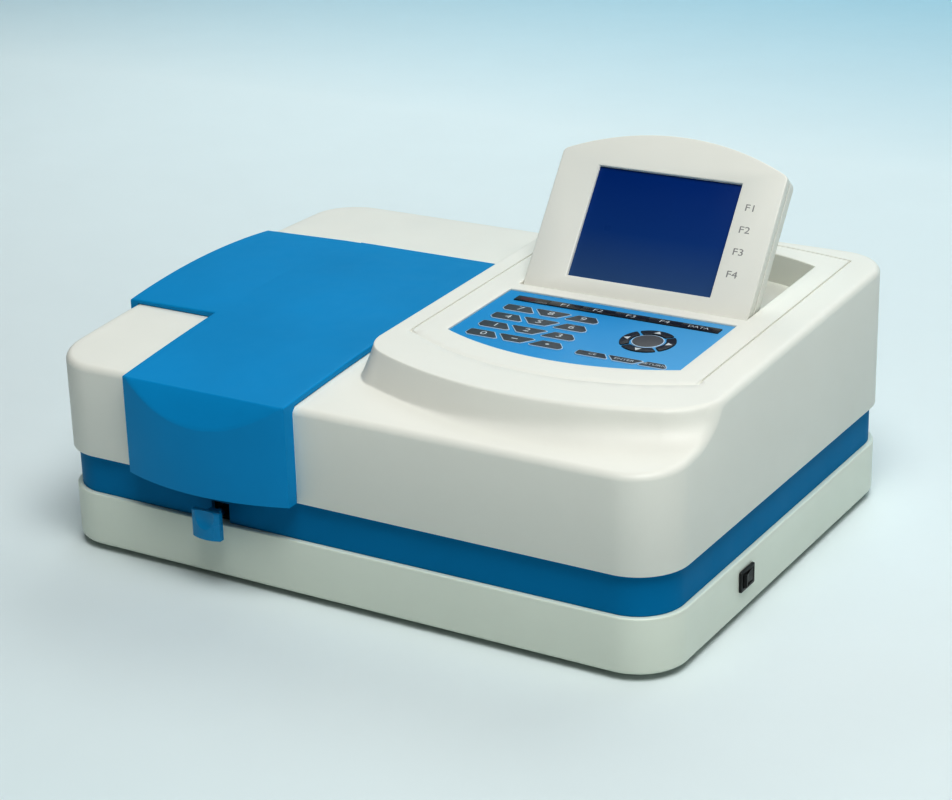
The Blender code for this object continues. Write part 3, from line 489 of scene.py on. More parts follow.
def plastic(name, colour, roughness=0.42, tone=0.05, grain=1400.0, depth=0.06, specular=0.45, metallic=0.0):
    """Moulded plastic or paint: a faint cloudy tone, fine moulded grain, and rubbed patches."""
    material = bpy.data.materials.new(name)
    material.use_nodes = True
    tree = material.node_tree
    shader = tree.nodes["Principled BSDF"]
    shader.inputs["Metallic"].default_value = metallic
    shader.inputs["Specular IOR Level"].default_value = specular
    place = node(tree, "ShaderNodeTexCoord")
    ramp = node(tree, "ShaderNodeValToRGB")
    for stop, position, share in zip(ramp.color_ramp.elements, (0.30, 0.70), (1 - tone, 1 + tone)):
        stop.position = position
        stop.color = (*[min(c * share, 1) for c in colour], 1)
    tree.links.new(noise(tree, place, 9.0, 4.0), ramp.inputs["Fac"])
    tree.links.new(ramp.outputs["Color"], shader.inputs["Base Color"])
    rubbed = spread(tree, noise(tree, place, 38.0, 6.0), 0.3, 0.7, roughness - 0.05, roughness + 0.06)
    tree.links.new(rubbed, shader.inputs["Roughness"])
    bump = node(tree, "ShaderNodeBump")
    bump.inputs["Strength"].default_value = depth
    bump.inputs["Distance"].default_value = 0.0004
    tree.links.new(noise(tree, place, grain, 2.0), bump.inputs["Height"])
    tree.links.new(bump.outputs["Normal"], shader.inputs["Normal"])
    return material


def brushed(name, colour, roughness, axis=0):
    """Bare metal with fine lines along one axis."""
    material = plastic(name, colour, roughness, tone=0.06, grain=60.0, depth=0.15, metallic=1.0)
    tree = material.node_tree
    place = next(n for n in tree.nodes if n.type == "TEX_COORD")
    stretch = node(tree, "ShaderNodeMapping")
    scale = [30.0, 30.0, 30.0]
    scale[axis] = 0.5
    stretch.inputs["Scale"].default_value = scale
    fine = [n for n in tree.nodes if n.type == "TEX_NOISE"][-1]
    tree.links.new(place.outputs["Object"], stretch.inputs["Vector"])
    tree.links.new(stretch.outputs["Vector"], fine.inputs["Vector"])
    return material


def clear_glass(name):
    """Quartz glass for cells and lamp envelopes, with a faint smear on it."""
    material = plastic(name, (0.95, 0.98, 1.0), 0.08, tone=0.01, grain=200.0, depth=0.01)
    shader = material.node_tree.nodes["Principled BSDF"]
    shader.inputs["Transmission Weight"].default_value = 0.92
    shader.inputs["IOR"].default_value = 1.46
    return material


def gradient(material, colours, start, end, axis="Z", cloudy=0.05):
    """Runs a plastic's colour through evenly spaced colours between two places on an axis of the object."""
    tree = material.node_tree
    shader = tree.nodes["Principled BSDF"]
    place = next(n for n in tree.nodes if n.type == "TEX_COORD")
    cloud = next(n for n in tree.nodes if n.type == "VALTORGB")
    split = node(tree, "ShaderNodeSeparateXYZ")
    tree.links.new(place.outputs["Object"], split.inputs["Vector"])
    run = node(tree, "ShaderNodeValToRGB")
    tree.links.new(spread(tree, split.outputs[axis], start, end), run.inputs["Fac"])
    stops = run.color_ramp.elements
    for i in range(1, len(colours) - 1):
        stops.new(i / (len(colours) - 1))
    for stop, colour in zip(stops, colours):
        stop.color = (*colour, 1)
    for stop, value in zip(cloud.color_ramp.elements, (1.0 - cloudy, 1.0)):
        stop.color = (value, value, value, 1)
    tint = node(tree, "ShaderNodeMix", data_type="RGBA", blend_type="MULTIPLY")
    tint.inputs["Factor"].default_value = 1.0
    tree.links.new(run.outputs["Color"], tint.inputs["A"])
    tree.links.new(cloud.outputs["Color"], tint.inputs["B"])
    tree.links.new(tint.outputs["Result"], shader.inputs["Base Color"])
    return material


CASING = plastic("casing_plastic", (0.82, 0.82, 0.755), 0.44, tone=0.012)
TRAY = plastic("tray_plastic", (0.75, 0.80, 0.71), 0.33, tone=0.02)
BLUE = plastic("blue_plastic", (0.004, 0.295, 0.575), 0.42, tone=0.05, depth=0.05, specular=0.14)
# The waist's blue is a darker copy of the lid's blue: painted shade from the casing's overhang above it.
BAND = plastic("band_plastic_painted_shade", (0.001, 0.215, 0.43), 0.42, tone=0.04, depth=0.05, specular=0.04)
KNOB = plastic("knob_plastic", (0.003, 0.27, 0.52), 0.24, tone=0.04, specular=0.3)
# The keypad film's own blue, made paler and whiter towards the right by painted light from the lamps on that
# side.
MEMBRANE = gradient(plastic("membrane_film_painted_light", (0.1, 0.4, 0.8), 0.34, depth=0.0, specular=0.2),
                    ((0.006, 0.32, 0.64), (0.030, 0.34, 0.67), (0.110, 0.42, 0.72)), 0.02, 0.17, "X")
KEY = plastic("key_face", (0.045, 0.060, 0.072), 0.38, tone=0.25, depth=0.05)
PAD_KEY = plastic("arrow_key_face", (0.010, 0.014, 0.020), 0.35, tone=0.2)
CENTRE = plastic("centre_key_face", (0.10, 0.105, 0.11), 0.40, tone=0.1)
OUTLINE = plastic("key_outline", (0.50, 0.66, 0.80), 0.40, tone=0.03)
LEGEND = plastic("white_print", (0.60, 0.65, 0.67), 0.45, tone=0.03)
GREY_PRINT = plastic("grey_print", (0.30, 0.30, 0.29), 0.55, tone=0.1)
BAR = plastic("soft_key_bar", (0.012, 0.012, 0.014), 0.25, tone=0.2)
BLACK = plastic("black_moulding", (0.006, 0.008, 0.008), 0.38, tone=0.2)
RUBBER = plastic("foot_rubber", (0.03, 0.03, 0.03), 0.80, tone=0.1, grain=700.0, depth=0.3)
BLACK_PAINT = plastic("black_paint", (0.032, 0.033, 0.035), 0.55, tone=0.1, grain=900.0, depth=0.25)
BOARD = plastic("board_lacquer", (0.01, 0.13, 0.04), 0.35, tone=0.15)
STEEL = brushed("bright_steel", (0.62, 0.63, 0.65), 0.22, axis=0)
ROD_STEEL = brushed("rod_steel", (0.62, 0.63, 0.65), 0.20, axis=1)
ALUMINIUM = brushed("aluminium_plate", (0.72, 0.73, 0.74), 0.34, axis=0)
GLASS = clear_glass("quartz_glass")
PINS = brushed("contact_pins", (0.75, 0.72, 0.60), 0.25, axis=1)
RED_WINDOW = plastic("red_window", (0.12, 0.010, 0.014), 0.12, tone=0.3)

# The pieces inside keep their CAD shape, and only get a material.
INSIDE = ((BLACK, "light_baffle", "fan_frame", "fan_rotor"),
          (STEEL, "lid_hinge_rod", "display_hinge_rod"),
          (ROD_STEEL, "pull_rod"),
          (ALUMINIUM, "cell_carriage", "power_supply", "optical_bench", "lamp_house"),
          (BLACK_PAINT, "sample_tub", "monochromator", "grating_turntable", "detector"),
          (BOARD, "keypad_board", "main_board"),
          (GLASS, "sample_cuvette", "deuterium_lamp", "tungsten_lamp"))


def screen_glass():
    """The unlit liquid crystal behind its film: deep blue, with a painted reflection that makes it paler
    towards its lower edge.
    """
    film = plastic("screen_film_painted_reflection", (0.01, 0.03, 0.1), 0.32, depth=0.0, specular=0.08)
    return gradient(film, ((0.055, 0.125, 0.27), (0.008, 0.060, 0.235), (0.0003, 0.038, 0.205)),
                    SCREEN_BASE, SCREEN_BASE + 0.066)


# ---- the casing's top as a height
def deck_z(y):
    """Height of the casing's arched deck."""
    t = y + HALF_D
    return DECK_FRONT + DECK_RISE * t + DECK_CURVE * t * t


def rim_z(y, below=0.0):
    """Height of the console's sloping rim plane, or of one that lies below it."""
    return RIM_Z + math.tan(RIM_TILT) * y - below


REAR = HALF_D + 0.03
RIM_LINE = refined([(-0.0165, REAR)]
                   + arc_through((-0.0165, -0.100), (-0.0105, -0.1155), (0.003, -0.1257), 12)
                   + arc_through((0.005, -0.1269), (0.108, -0.1502), (0.213, -0.1318), 30)
                   + arc_through((0.215, -0.1306), (0.231, -0.118), (0.241, -0.098), 12)
                   + [(0.275, -0.060)], 0.003, closed=False)
FOOT_LINE = refined([(-0.0185, REAR)]
                    + arc_through((-0.0185, -0.112), (-0.0135, -0.1275), (0.003, -0.1375), 12)
                    + arc_through((0.005, -0.1384), (0.108, -0.1580), (0.209, -0.1390), 30)
                    + arc_through((0.211, -0.1381), (0.231, -0.1275), (0.241, -0.112), 12)
                    + [(0.275, -0.078)], 0.003, closed=False)
RIM_AREA = RIM_LINE + [(0.275, REAR)]
FOOT_AREA = FOOT_LINE + [(0.275, REAR)]
STEP_LINE = refined([(-0.002, 0.171)]
                    + arc_through((-0.002, -0.0825), (0.105, -0.1142), (0.2145, -0.0870), 36)
                    + arc_through((0.2145, 0.163), (0.107, 0.176), (-0.002, 0.171), 16)[:-1], 0.004)


def turned(left, radius):
    """How far a rounding has turned away from a plane, at a distance in from where it starts."""
    return radius - np.sqrt(np.clip(radius * radius - np.clip(left, 0, None) ** 2, 0, None))


def console_height(points):
    """Height of the casing's top before its outer edge is rounded: deck, sloping wall and rim plane."""
    p = np.asarray(points, float).reshape(-1, 2)
    deck, rim = deck_z(p[:, 1]), rim_z(p[:, 1])
    to_rim, to_foot = distance(p, RIM_LINE), distance(p, FOOT_LINE)
    in_rim, in_foot = inside(p, RIM_AREA), inside(p, FOOT_AREA)
    past_rim = np.where(in_rim, to_rim, -to_rim)
    past_foot = np.where(in_foot, -to_foot, to_foot)
    run = np.where(in_rim, to_foot - to_rim, np.where(in_foot, to_foot + to_rim, to_rim - to_foot))
    slope = np.arctan2(rim - deck, np.maximum(run, SHORTEST_RUN))
    soft = smooth_step((p[:, 0] - SOFTEN_FROM) / SOFTEN_OVER)
    edge = EDGE_CRISP + (EDGE_SOFT - EDGE_CRISP) * soft
    toe = TOE_CRISP + (TOE_SOFT - TOE_CRISP) * soft
    height = rim + past_rim * np.tan(slope)
    reach = edge * np.tan(slope / 2)
    height = np.where(past_rim >= -reach * np.cos(slope), rim - turned(reach - past_rim, edge), height)
    reach = toe * np.tan(slope / 2)
    height = np.where(past_foot >= -reach * np.cos(slope), deck + turned(reach - past_foot, toe), height)
    front = smooth_step((CREASE_FROM - p[:, 1]) / CREASE_OVER)
    wide = GROOVE_WIDE + (CREASE_WIDE - GROOVE_WIDE) * front
    deep = GROOVE_DEEP + (CREASE_DEEP - GROOVE_DEEP) * front
    return height - deep * np.clip(1 - (distance(p, STEP_LINE, True) / wide) ** 2, 0, None)


def edge_inset(points):
    """How far each point lies inside the footprint."""
    p = np.abs(np.asarray(points, float).reshape(-1, 2))
    past = p - np.array([HALF_W - BODY_RADIUS, HALF_D - BODY_RADIUS])
    corner = (past > 0).all(axis=1)
    flat = BODY_RADIUS - past.max(axis=1)
    return np.where(corner, BODY_RADIUS - np.linalg.norm(past, axis=1), flat)


def casing_height(points):
    """Height of the casing's top, with its outer edge rounded."""
    return console_height(points) - rounded_drop(edge_inset(points), EDGE_RADIUS)


def inner_height(points):
    """Height of the casing's ceiling, which follows the deck under the whole of the top."""
    deck = deck_z(np.asarray(points, float).reshape(-1, 2)[:, 1])
    return deck - WALL - rounded_drop(edge_inset(points) - WALL, EDGE_RADIUS - WALL)


def lifted(outline, height, offset=0.0):
    """The outline's points on a surface, lowered by an offset."""
    return [(x, y, z - offset) for (x, y), z in zip(outline, height(outline))]


# ---- display and panel outlines
DISPLAY_TOE = DISPLAY_HALF / math.tan((math.pi - DISPLAY_OPEN) / 2)
DISPLAY_PIVOT_Y = DISPLAY_EDGE_Y / math.cos(RIM_TILT) + DISPLAY_TOE
DISPLAY_PIVOT = PANEL @ Vector((0, DISPLAY_PIVOT_Y, -DISPLAY_HALF))
RAISED = Matrix.Translation(DISPLAY_PIVOT) @ Matrix.Rotation(RIM_TILT + DISPLAY_OPEN, 4, "X")
SCREEN_BASE = (RAISED @ Vector((0, DISPLAY_TOE + SCREEN_U0, 0))).z + ORIGIN.z


def well_outline(grow):
    """The well that the display folds into, in the panel's frame."""
    base = DISPLAY_PIVOT_Y + DISPLAY_TOE
    side, apex = base + DISPLAY_SIDE + grow, base + DISPLAY_APEX + grow
    x0, x1 = DISPLAY_X0 - grow, DISPLAY_X1 + grow
    front, middle = DISPLAY_PIVOT_Y - DISPLAY_HALF - grow, (DISPLAY_X0 + DISPLAY_X1) / 2
    return [(x0, front), (x1, front)] + arc_through((x1, side), (middle, apex), (x0, side), 24)


def panel_outline(inset):
    """The keypad's outline: straight back and sides, and a front edge that bows outwards."""
    x0, x1 = PANEL_X0 + inset, PANEL_X1 - inset
    front = arc_through((x0, PANEL_Y0 + inset), ((x0 + x1) / 2, PANEL_ARC + inset),
                        (x1, PANEL_Y0 + inset), 24)
    return front + [(x1, PANEL_Y1 - inset), (x0, PANEL_Y1 - inset)]


def on_panel(outline):
    """An outline in the panel's frame, seen from above."""
    return [tuple((PANEL @ Vector((x, y, 0)))[:2]) for x, y in outline]


# ---- casing
TUB = (-0.156, -0.037, -0.172, 0.0845)
LID_PIVOT = (0.088, 0.1512)
HINGE_TROUGH = (0.0850, 0.0914)
HINGE_EARS = (-0.1655, -0.0365)
EAR_WIDTH = 0.005
FAN = (-0.172, 0.107)


def rim_loops(outline, radius):
    """Loops down a hole's rounded rim, from the surface around it to the top of the hole's wall."""
    return [lifted(grown(outline, radius * (1 - math.sin(a))), casing_height, radius * (1 - math.cos(a)))
            for a in quarter(4)]


def upper_casing():
    """The white casing: one moulding with its arched deck, raised console, well and openings."""
    skin = Skin()
    lip, inner_ledge = 0.0009, BAND_TOP + 0.007
    walls = [level(footprint(inset), z) for inset, z in (
        (LEDGE, inner_ledge), (LEDGE, BAND_TOP + lip), (LEDGE - lip, BAND_TOP), (lip, BAND_TOP),
        (lip * 0.3, BAND_TOP + lip * 0.3), (0, BAND_TOP + lip))]
    walls += [lifted(footprint(inset), casing_height)
              for inset in (0.0, 0.0001, 0.0004, 0.0009, 0.0016, 0.0025, 0.0036, EDGE_RADIUS)]
    outer = skin.lathe(walls)
    inner = skin.lathe([level(footprint(WALL), inner_ledge), lifted(footprint(WALL), inner_height),
                        lifted(footprint(EDGE_RADIUS), inner_height)])
    skin.bridge(outer[0], inner[0])

    tub = refined(rounded_rectangle(*TUB, 0.004, 4), 0.004)
    tub_top = skin.lathe(rim_loops(tub, 0.0008))
    tub_low = skin.loop(lifted(tub, inner_height))
    skin.bridge(tub_top[-1], tub_low)

    well = refined(on_panel(well_outline(WELL_GAP)), 0.004)
    well_top = skin.lathe(rim_loops(well, 0.0009))
    drop = WELL_DEPTH / math.cos(RIM_TILT)
    well_floor = skin.loop([(x, y, rim_z(y, drop)) for x, y in well])
    skin.bridge(well_top[-1], well_floor)
    shell = grown(well, WALL)
    cup = skin.lathe([lifted(shell, inner_height), [(x, y, rim_z(y, drop) - WALL) for x, y in shell]])

    pad = refined(on_panel(panel_outline(-0.0003)), 0.004)
    pad_top = skin.lathe(rim_loops(pad, 0.0004))
    pad_floor = skin.loop(lifted(pad, casing_height, PAD_DEPTH))
    skin.bridge(pad_top[-1], pad_floor)

    console = [grown(RIM_AREA, -inset)[:len(RIM_LINE)]
               for inset in (0.00015, 0.0004, 0.0007, 0.0011, 0.0017, 0.0025, 0.0036, 0.0050)]
    console += [between(RIM_LINE, FOOT_LINE, share)
                for share in (0.0, 0.03, 0.07, 0.14, 0.25, 0.38, 0.52, 0.66, 0.78, 0.88, 0.94, 0.98, 1.0)]
    console += [grown(FOOT_AREA, outset)[:len(FOOT_LINE)]
                for outset in (0.0003, 0.0007, 0.0012, 0.0020, 0.0032, 0.0050, 0.0075, 0.0105, 0.0140)]
    for inset in (-0.0013, -0.0008, -0.0005, -0.00025, 0.0, 0.00025, 0.0005, 0.0008, 0.0013):
        ring = grown(STEP_LINE, -inset)
        console.append(ring + ring[:1])
    grid = [(x / 1000, y / 1000) for x in range(-237, 238, 6) for y in range(-180, 181, 6)]
    skin.cap(outer[-1], (tub_top[0], well_top[0], pad_top[0]), console, grid, casing_height)
    skin.cap(inner[-1], (tub_low, cup[0]), (), grid[::3], inner_height, flip=True)
    skin.cap(well_floor, height=lambda p: rim_z(p[:, 1], drop))
    skin.cap(cup[-1], height=lambda p: p[:, 0] * 0 + RIM_Z, flip=True)
    skin.cap(pad_floor, height=lambda p: casing_height(p) - PAD_DEPTH)
    casing = skin.thing("casing", CASING)

    cut(casing, box(-0.1676, -0.0304, *HINGE_TROUGH, 0.1476, 0.2),
        box(-0.250, -0.160, *HINGE_TROUGH, 0.1496, 0.2))
    slots, pitch, opening, half = 7, 0.0068, 0.026, 0.0017
    for i in range(slots):
        z = FAN[1] + (i - slots // 2) * pitch
        reach = math.sqrt(opening ** 2 - (z - FAN[1]) ** 2)
        cut(casing, prism_y(rounded_rectangle(*around((FAN[0], z), (reach, half)), 0.0016, 4), 0.17, 0.20))
    return casing


def between(first, second, share):
    """Points part of the way from one line to another, matched by their share of each line's length."""
    rows = []
    for line in (first, second):
        p = np.asarray(line, float)
        along = np.concatenate(([0], np.cumsum(np.linalg.norm(np.diff(p, axis=0), axis=1))))
        at = np.linspace(0, along[-1], 170)
        rows.append(np.stack([np.interp(at, along, p[:, k]) for k in (0, 1)], axis=1))
    return [tuple(p) for p in rows[0] + (rows[1] - rows[0]) * share]


# ---- tray and band
def base_tray():
    """The lower tray, with its rolled lip, its rounded bottom edge and the holes in its walls."""
    profile = [(LEDGE, 0.004), (LEDGE, TRAY_TOP - 0.0006), (LEDGE - 0.0006, TRAY_TOP)]
    lip, foot, turns = 0.0012, 0.0035, quarter(6)
    profile += [(TRAY_INSET + lip * (1 - math.sin(a)), TRAY_TOP - lip * (1 - math.cos(a))) for a in turns]
    profile += [(TRAY_INSET + foot * (1 - math.cos(a)), foot * (1 - math.sin(a))) for a in turns]
    skin = Skin()
    made = skin.lathe([level(footprint(inset), z) for inset, z in profile])
    skin.faces += [tuple(made[0]), tuple(made[-1])]
    inlet_x0, inlet_x1, inlet_z0, inlet_z1 = around(INLET_AT, (0.0133, 0.0103))
    port_x0, port_x1, port_z0, port_z1 = around(PORT_AT, (0.0168, 0.0066))
    return cut(skin.thing("tray", TRAY), box(0.22, 0.25, *around(SWITCH_AT, (0.0095, 0.00625))),
               box(inlet_x0, inlet_x1, 0.165, 0.19, inlet_z0, inlet_z1),
               box(port_x0, port_x1, 0.165, 0.19, port_z0, port_z1))


def waist_band():
    """The blue waist, drawn in between tray and casing, with the slot for the cell rod."""
    low, high = TRAY_TOP + 0.0003, BAND_TOP - 0.0003
    skin = Skin()
    made = skin.lathe([level(footprint(inset), z) for inset, z in (
        (BAND_INSET + WALL, low), (BAND_INSET, low), (BAND_INSET, high), (BAND_INSET + WALL, high))])
    skin.bridge(made[-1], made[0])
    return cut(skin.thing("waist", BAND), box(*ROD_SLOT, -0.20, -0.15, TRAY_TOP - 0.01, 0.0535))


# ---- lid
def lid_strip_z(y):
    """Height of the lid's strip, which sinks a little towards its hinge."""
    fade = np.clip((y - WING_FRONT) / (LID_PIVOT[0] - WING_FRONT), 0, 1)
    return deck_z(np.maximum(y, LID_FRONT)) + LID_RISE - (LID_RISE - 0.003) * fade


def lid_height(points):
    """The lid's top before its edges are rounded: strip, wing with its crease, and finger scoop."""
    p = np.asarray(points, float).reshape(-1, 2)
    share = np.clip((LID_LEFT_BACK - p[:, 0]) / (LID_LEFT_BACK - WING_LEFT), 0, 1)
    arch = 0.0024 - 0.0044 * (p[:, 1] / 0.088) ** 2
    top = lid_strip_z(p[:, 1]) + share * arch
    slope = (SCOOP_TOP - SCOOP_LOW) / LID_BULGE
    scoop = SCOOP_TOP + (p[:, 1] - LID_FRONT) * slope
    return soft_min(top, scoop, 0.0016)


def lid_outline():
    """The lid from above, counter-clockwise from the strip's front left corner."""
    apex = ((LID_LEFT_FRONT + LID_RIGHT) / 2, LID_FRONT - LID_BULGE)
    bulge = arc_through((LID_LEFT_FRONT, LID_FRONT), apex, (LID_RIGHT, LID_FRONT), 48)
    return bulge + [(LID_RIGHT, WING_BACK), (WING_LEFT, WING_BACK), (WING_LEFT, WING_FRONT),
                    (LID_LEFT_BACK, WING_FRONT)]


def lid_floor(x, y):
    """How low the lid's edge reaches: to the deck, or down the casing's front and left walls."""
    if y < -HALF_D - 0.0005:
        return BAND_TOP + 0.0004
    if x < -HALF_W - 0.0005:
        return float(deck_z(y)) - WING_FLANGE
    return float(deck_z(y)) + 0.0006


def lid_ring():
    """The outline with points on both sides of each place where the lid's edge changes its depth."""
    ring = []
    points = lid_outline()
    for (ax, ay), (bx, by) in zip(points, points[1:] + points[:1]):
        ring.append((ax, ay))
        for at in sorted(crossings((ax, ay), (bx, by))):
            for nudge in (-0.00005, 0.00005):
                t = at + nudge / math.hypot(bx - ax, by - ay)
                ring.append((ax + (bx - ax) * t, ay + (by - ay) * t))
    return ring


def crossings(a, b):
    """Where a side of the lid crosses the planes just outside the casing's front and left walls."""
    front, side = -HALF_D - 0.0006, -HALF_W - 0.0006
    found = []
    if (a[1] - front) * (b[1] - front) < 0:
        found.append((front - a[1]) / (b[1] - a[1]))
    if (a[0] - side) * (b[0] - side) < 0:
        found.append((side - a[0]) / (b[0] - a[0]))
    return found


def sample_lid():
    """The blue L-shaped lid: a hollow shell with a flap in front, a flange at the left and a finger scoop."""
    ring = refined(lid_ring(), 0.003)
    depth = LID_EDGE * np.array([0, 0.03, 0.12, 0.28, 0.5, 0.75, 1.0])
    skin = Skin()
    low = [(x, y, lid_floor(x, y)) for x, y in ring]
    outer = skin.lathe([low] + [lifted(grown(ring, -d), lid_height, float(rounded_drop(d, LID_EDGE)))
                                for d in depth])
    inside_ring = grown(ring, -LID_SKIN)
    inner_low = [(x, y, z) for (x, y), (_, _, z) in zip(inside_ring, low)]
    inner = skin.lathe([inner_low, lifted(inside_ring, lid_height, LID_SKIN)])
    skin.bridge(outer[0], inner[0])
    creases = [[(x, LID_FRONT + d) for x in np.linspace(-0.162, -0.031, 44)]
               for d in (-0.0012, -0.0006, -0.0002, 0.0002, 0.0006, 0.0012, 0.003)]
    creases += [[(LID_LEFT_BACK + d, y) for y in np.linspace(WING_FRONT, WING_BACK, 60)]
                for d in (-0.0006, 0.0, 0.0006)]
    grid = [(x / 1000, y / 1000) for x in range(-240, -28, 5) for y in range(-204, 88, 5)]
    skin.cap(outer[-1], (), creases, grid, lid_height)
    skin.cap(inner[-1], (), creases[:3], grid[::2], lambda p: lid_height(p) - LID_SKIN, flip=True)
    lid = skin.thing("lid", BLUE)
    join(lid, prism_x(circle(LID_PIVOT, 0.0031, 32), -0.1555, -0.0375))
    for x in HINGE_EARS:
        cut(lid, box(x - 0.0003, x + EAR_WIDTH + 0.0003, LID_PIVOT[0] - 0.0045, 0.093, 0.14, 0.1533))
    return lid


# ---- print
CAPITAL_SHARE, PRINT_HALF = 0.69, 0.00003


def lettering(text, height, material):
    """Flat raised print, centred on its own origin, as tall as a capital letter is asked to be."""
    curve = bpy.data.curves.new("print", "FONT")
    curve.body = text
    curve.size = height / CAPITAL_SHARE
    curve.align_x = "CENTER"
    curve.align_y = "CENTER"
    curve.extrude = PRINT_HALF
    curve.resolution_u = 3
    thing = bpy.data.objects.new("print", curve)
    bpy.context.scene.collection.objects.link(thing)
    graph = bpy.context.evaluated_depsgraph_get()
    mesh = bpy.data.meshes.new_from_object(thing.evaluated_get(graph))
    bpy.data.objects.remove(thing)
    bpy.data.curves.remove(curve)
    mesh.materials.clear()
    return finished("print", mesh, (material,))


def placed(mark, place, wide=1.3):
    """A printed mark, made wider and set on a face."""
    return moved(mark, Matrix.Translation(place) @ Matrix.Diagonal((wide, 1, 1, 1)))


def merged(name, things):
    """One object made of several, each with its own materials."""
    bm = bmesh.new()
    materials = []
    for thing in things:
        offset = len(materials)
        materials += list(thing.data.materials)
        before = len(bm.faces)
        bm.from_mesh(thing.data)
        bm.faces.ensure_lookup_table()
        for face in bm.faces[before:]:
            face.material_index += offset
        mesh = thing.data
        bpy.data.objects.remove(thing)
        bpy.data.meshes.remove(mesh)
    mesh = bpy.data.meshes.new(name)
    bm.to_mesh(mesh)
    bm.free()
    return finished(name, mesh, materials)


# ---- display
def display_outline(inset, start, corner=0.003):
    """The display's outline lying flat, measured from its pivot."""
    x0, x1 = DISPLAY_X0 + inset, DISPLAY_X1 - inset
    side, apex = DISPLAY_TOE + DISPLAY_SIDE - inset, DISPLAY_TOE + DISPLAY_APEX - inset
    arch = arc_through((x1, side), ((x0 + x1) / 2, apex), (x0, side), 24)

    def shoulder(here, after):
        (ax, ay), (bx, by) = here, after
        return (ax, ay - corner), (ax, ay), (ax + (bx - ax) * 0.55, ay + (by - ay) * 0.55)

    right, left = shoulder(arch[0], arch[1]), shoulder(arch[-1], arch[-2])
    return [(x0, start), (x1, start)] + bend(*right, 5) + arch[1:-1] + bend(*left[::-1], 5)


def bend(start, corner, end, steps):
    """A smooth turn from one point to another around a corner."""
    points = []
    for i in range(steps + 1):
        t = i / steps
        a, b, c = (1 - t) ** 2, 2 * t * (1 - t), t * t
        points.append((a * start[0] + b * corner[0] + c * end[0], a * start[1] + b * corner[1] + c * end[1]))
    return points


def barrel(radius, x0, x1):
    """The display's lower edge, rolled around its axis, with its ends rounded."""
    profile = ((x0, radius - 0.0009), (x0 + 0.0003, radius - 0.0003), (x0 + 0.0009, radius),
               (x1 - 0.0009, radius), (x1 - 0.0003, radius - 0.0003), (x1, radius - 0.0009))
    return lofted("barrel", [facing_x(circle((0, 0), r, 48), x) for x, r in profile], CASING)


def screen_outline(grow):
    """The screen's outline lying flat, measured from the display's pivot."""
    return rectangle(SCREEN_X0 - grow, SCREEN_X1 + grow,
                     DISPLAY_TOE + SCREEN_U0 - grow, DISPLAY_TOE + SCREEN_U1 + grow)


def window_cutter():
    """The screen's opening, which narrows inwards with a rounded rim, and the seat behind it."""
    screen = screen_outline(0.0)
    seat = grown(screen, 0.004)
    loops = [level(seat, -0.004), level(seat, 0.0054), level(screen, 0.0054)]
    loops += [level(grown(screen, grow), z) for grow, z in
              ((0.0, 0.0064), (0.0004, 0.0073), (0.0008, 0.0078), (0.0014, 0.00805), (0.0014, 0.01))]
    return lofted("cutter", loops)


def display_bezel():
    """The display's front frame with its window, its rolled lower edge, and the F1 to F4 print."""
    low = DISPLAY_HALF - BEZEL_THICK
    bezel = lofted("bezel", both_rounded(display_outline(0, 0.0), low, DISPLAY_HALF, 0.0009, 4), CASING)
    join(bezel, barrel(DISPLAY_HALF - 0.00005, DISPLAY_X0, DISPLAY_X1))
    cut(bezel, window_cutter())
    legends = [placed(lettering(f"F{i + 1}", 0.0048, GREY_PRINT), (0.1745, DISPLAY_TOE + u, DISPLAY_HALF))
               for i, u in enumerate((0.0767, 0.0605, 0.0443, 0.0278))]
    return moved(bezel, RAISED), moved(merged("display_print", legends), RAISED)


def display_back():
    """The display's rear shell: a step, a groove, and a back with well rounded edges."""
    top, radius = DISPLAY_HALF - BEZEL_THICK - 0.0002, 0.0032
    outline = display_outline(0.0002, DISPLAY_HALF + 0.0006, 0.005)
    profile = [(-0.0048, -0.0078), (-0.0048, top), (-0.0013, top), (-0.0013, -0.0001), (-0.0002, -0.0003),
               (0.0, -0.0006)]
    profile += [(-radius * (1 - math.cos(a)), -DISPLAY_REAR + radius * (1 - math.sin(a))) for a in quarter(8)]
    return moved(lofted("shell", [level(grown(outline, grow), z) for grow, z in profile], CASING), RAISED)


def lcd_panel():
    """The liquid crystal: a thin glass with a black border around the lit area."""
    lip = 0.0038
    border = rectangle(SCREEN_X0 - lip, SCREEN_X1 + lip,
                       DISPLAY_TOE + SCREEN_U0 - lip + 0.001, DISPLAY_TOE + SCREEN_U1 + lip)
    module = lofted("module", both_rounded(border, 0.0014, 0.0048, 0.0003, 2), BLACK)
    screen = lofted("glass", pillow(screen_outline(0.001), 0.0046, 0.0052, 0.0002, 2), screen_glass())
    return moved(merged("lcd", (module, screen)), RAISED)


# ---- keypad
NUMBER_ROW_Y = (-0.0157, -0.0324, -0.0492, -0.0659)
NUMBER_HEIGHT = 0.0108
NUMBER_SPANS = ((0.0323, 0.0580), (0.0552, 0.0834), (0.0818, 0.1068))
COMMAND_ROW_Y = -0.0688
COMMAND_HEIGHT = 0.0078
COMMAND_SPANS = ((0.1172, 0.1422), (0.1398, 0.1660), (0.1639, 0.1845))
PAD_X, PAD_Y = 0.1522, -0.0332
ARROW_OUTER, ARROW_INNER = 0.0190, 0.0124
CENTRE_KEY_RADIUS = 0.0112
BAR_X0 = 0.0316
SOFT_BAR_X0, SOFT_BAR_X1 = 0.0579, 0.1878
SOFT_KEY_PITCH = 0.02535
SOFT_BAR_Y, SOFT_BAR_DEPTH = 0.0025, 0.0078
MEMBRANE_TOP = -0.0011
KEY_TOP = -0.0004
KEY_LOW = MEMBRANE_TOP - 0.0003
KEY_GAP, FACE_THICK = 0.0001, 0.0004


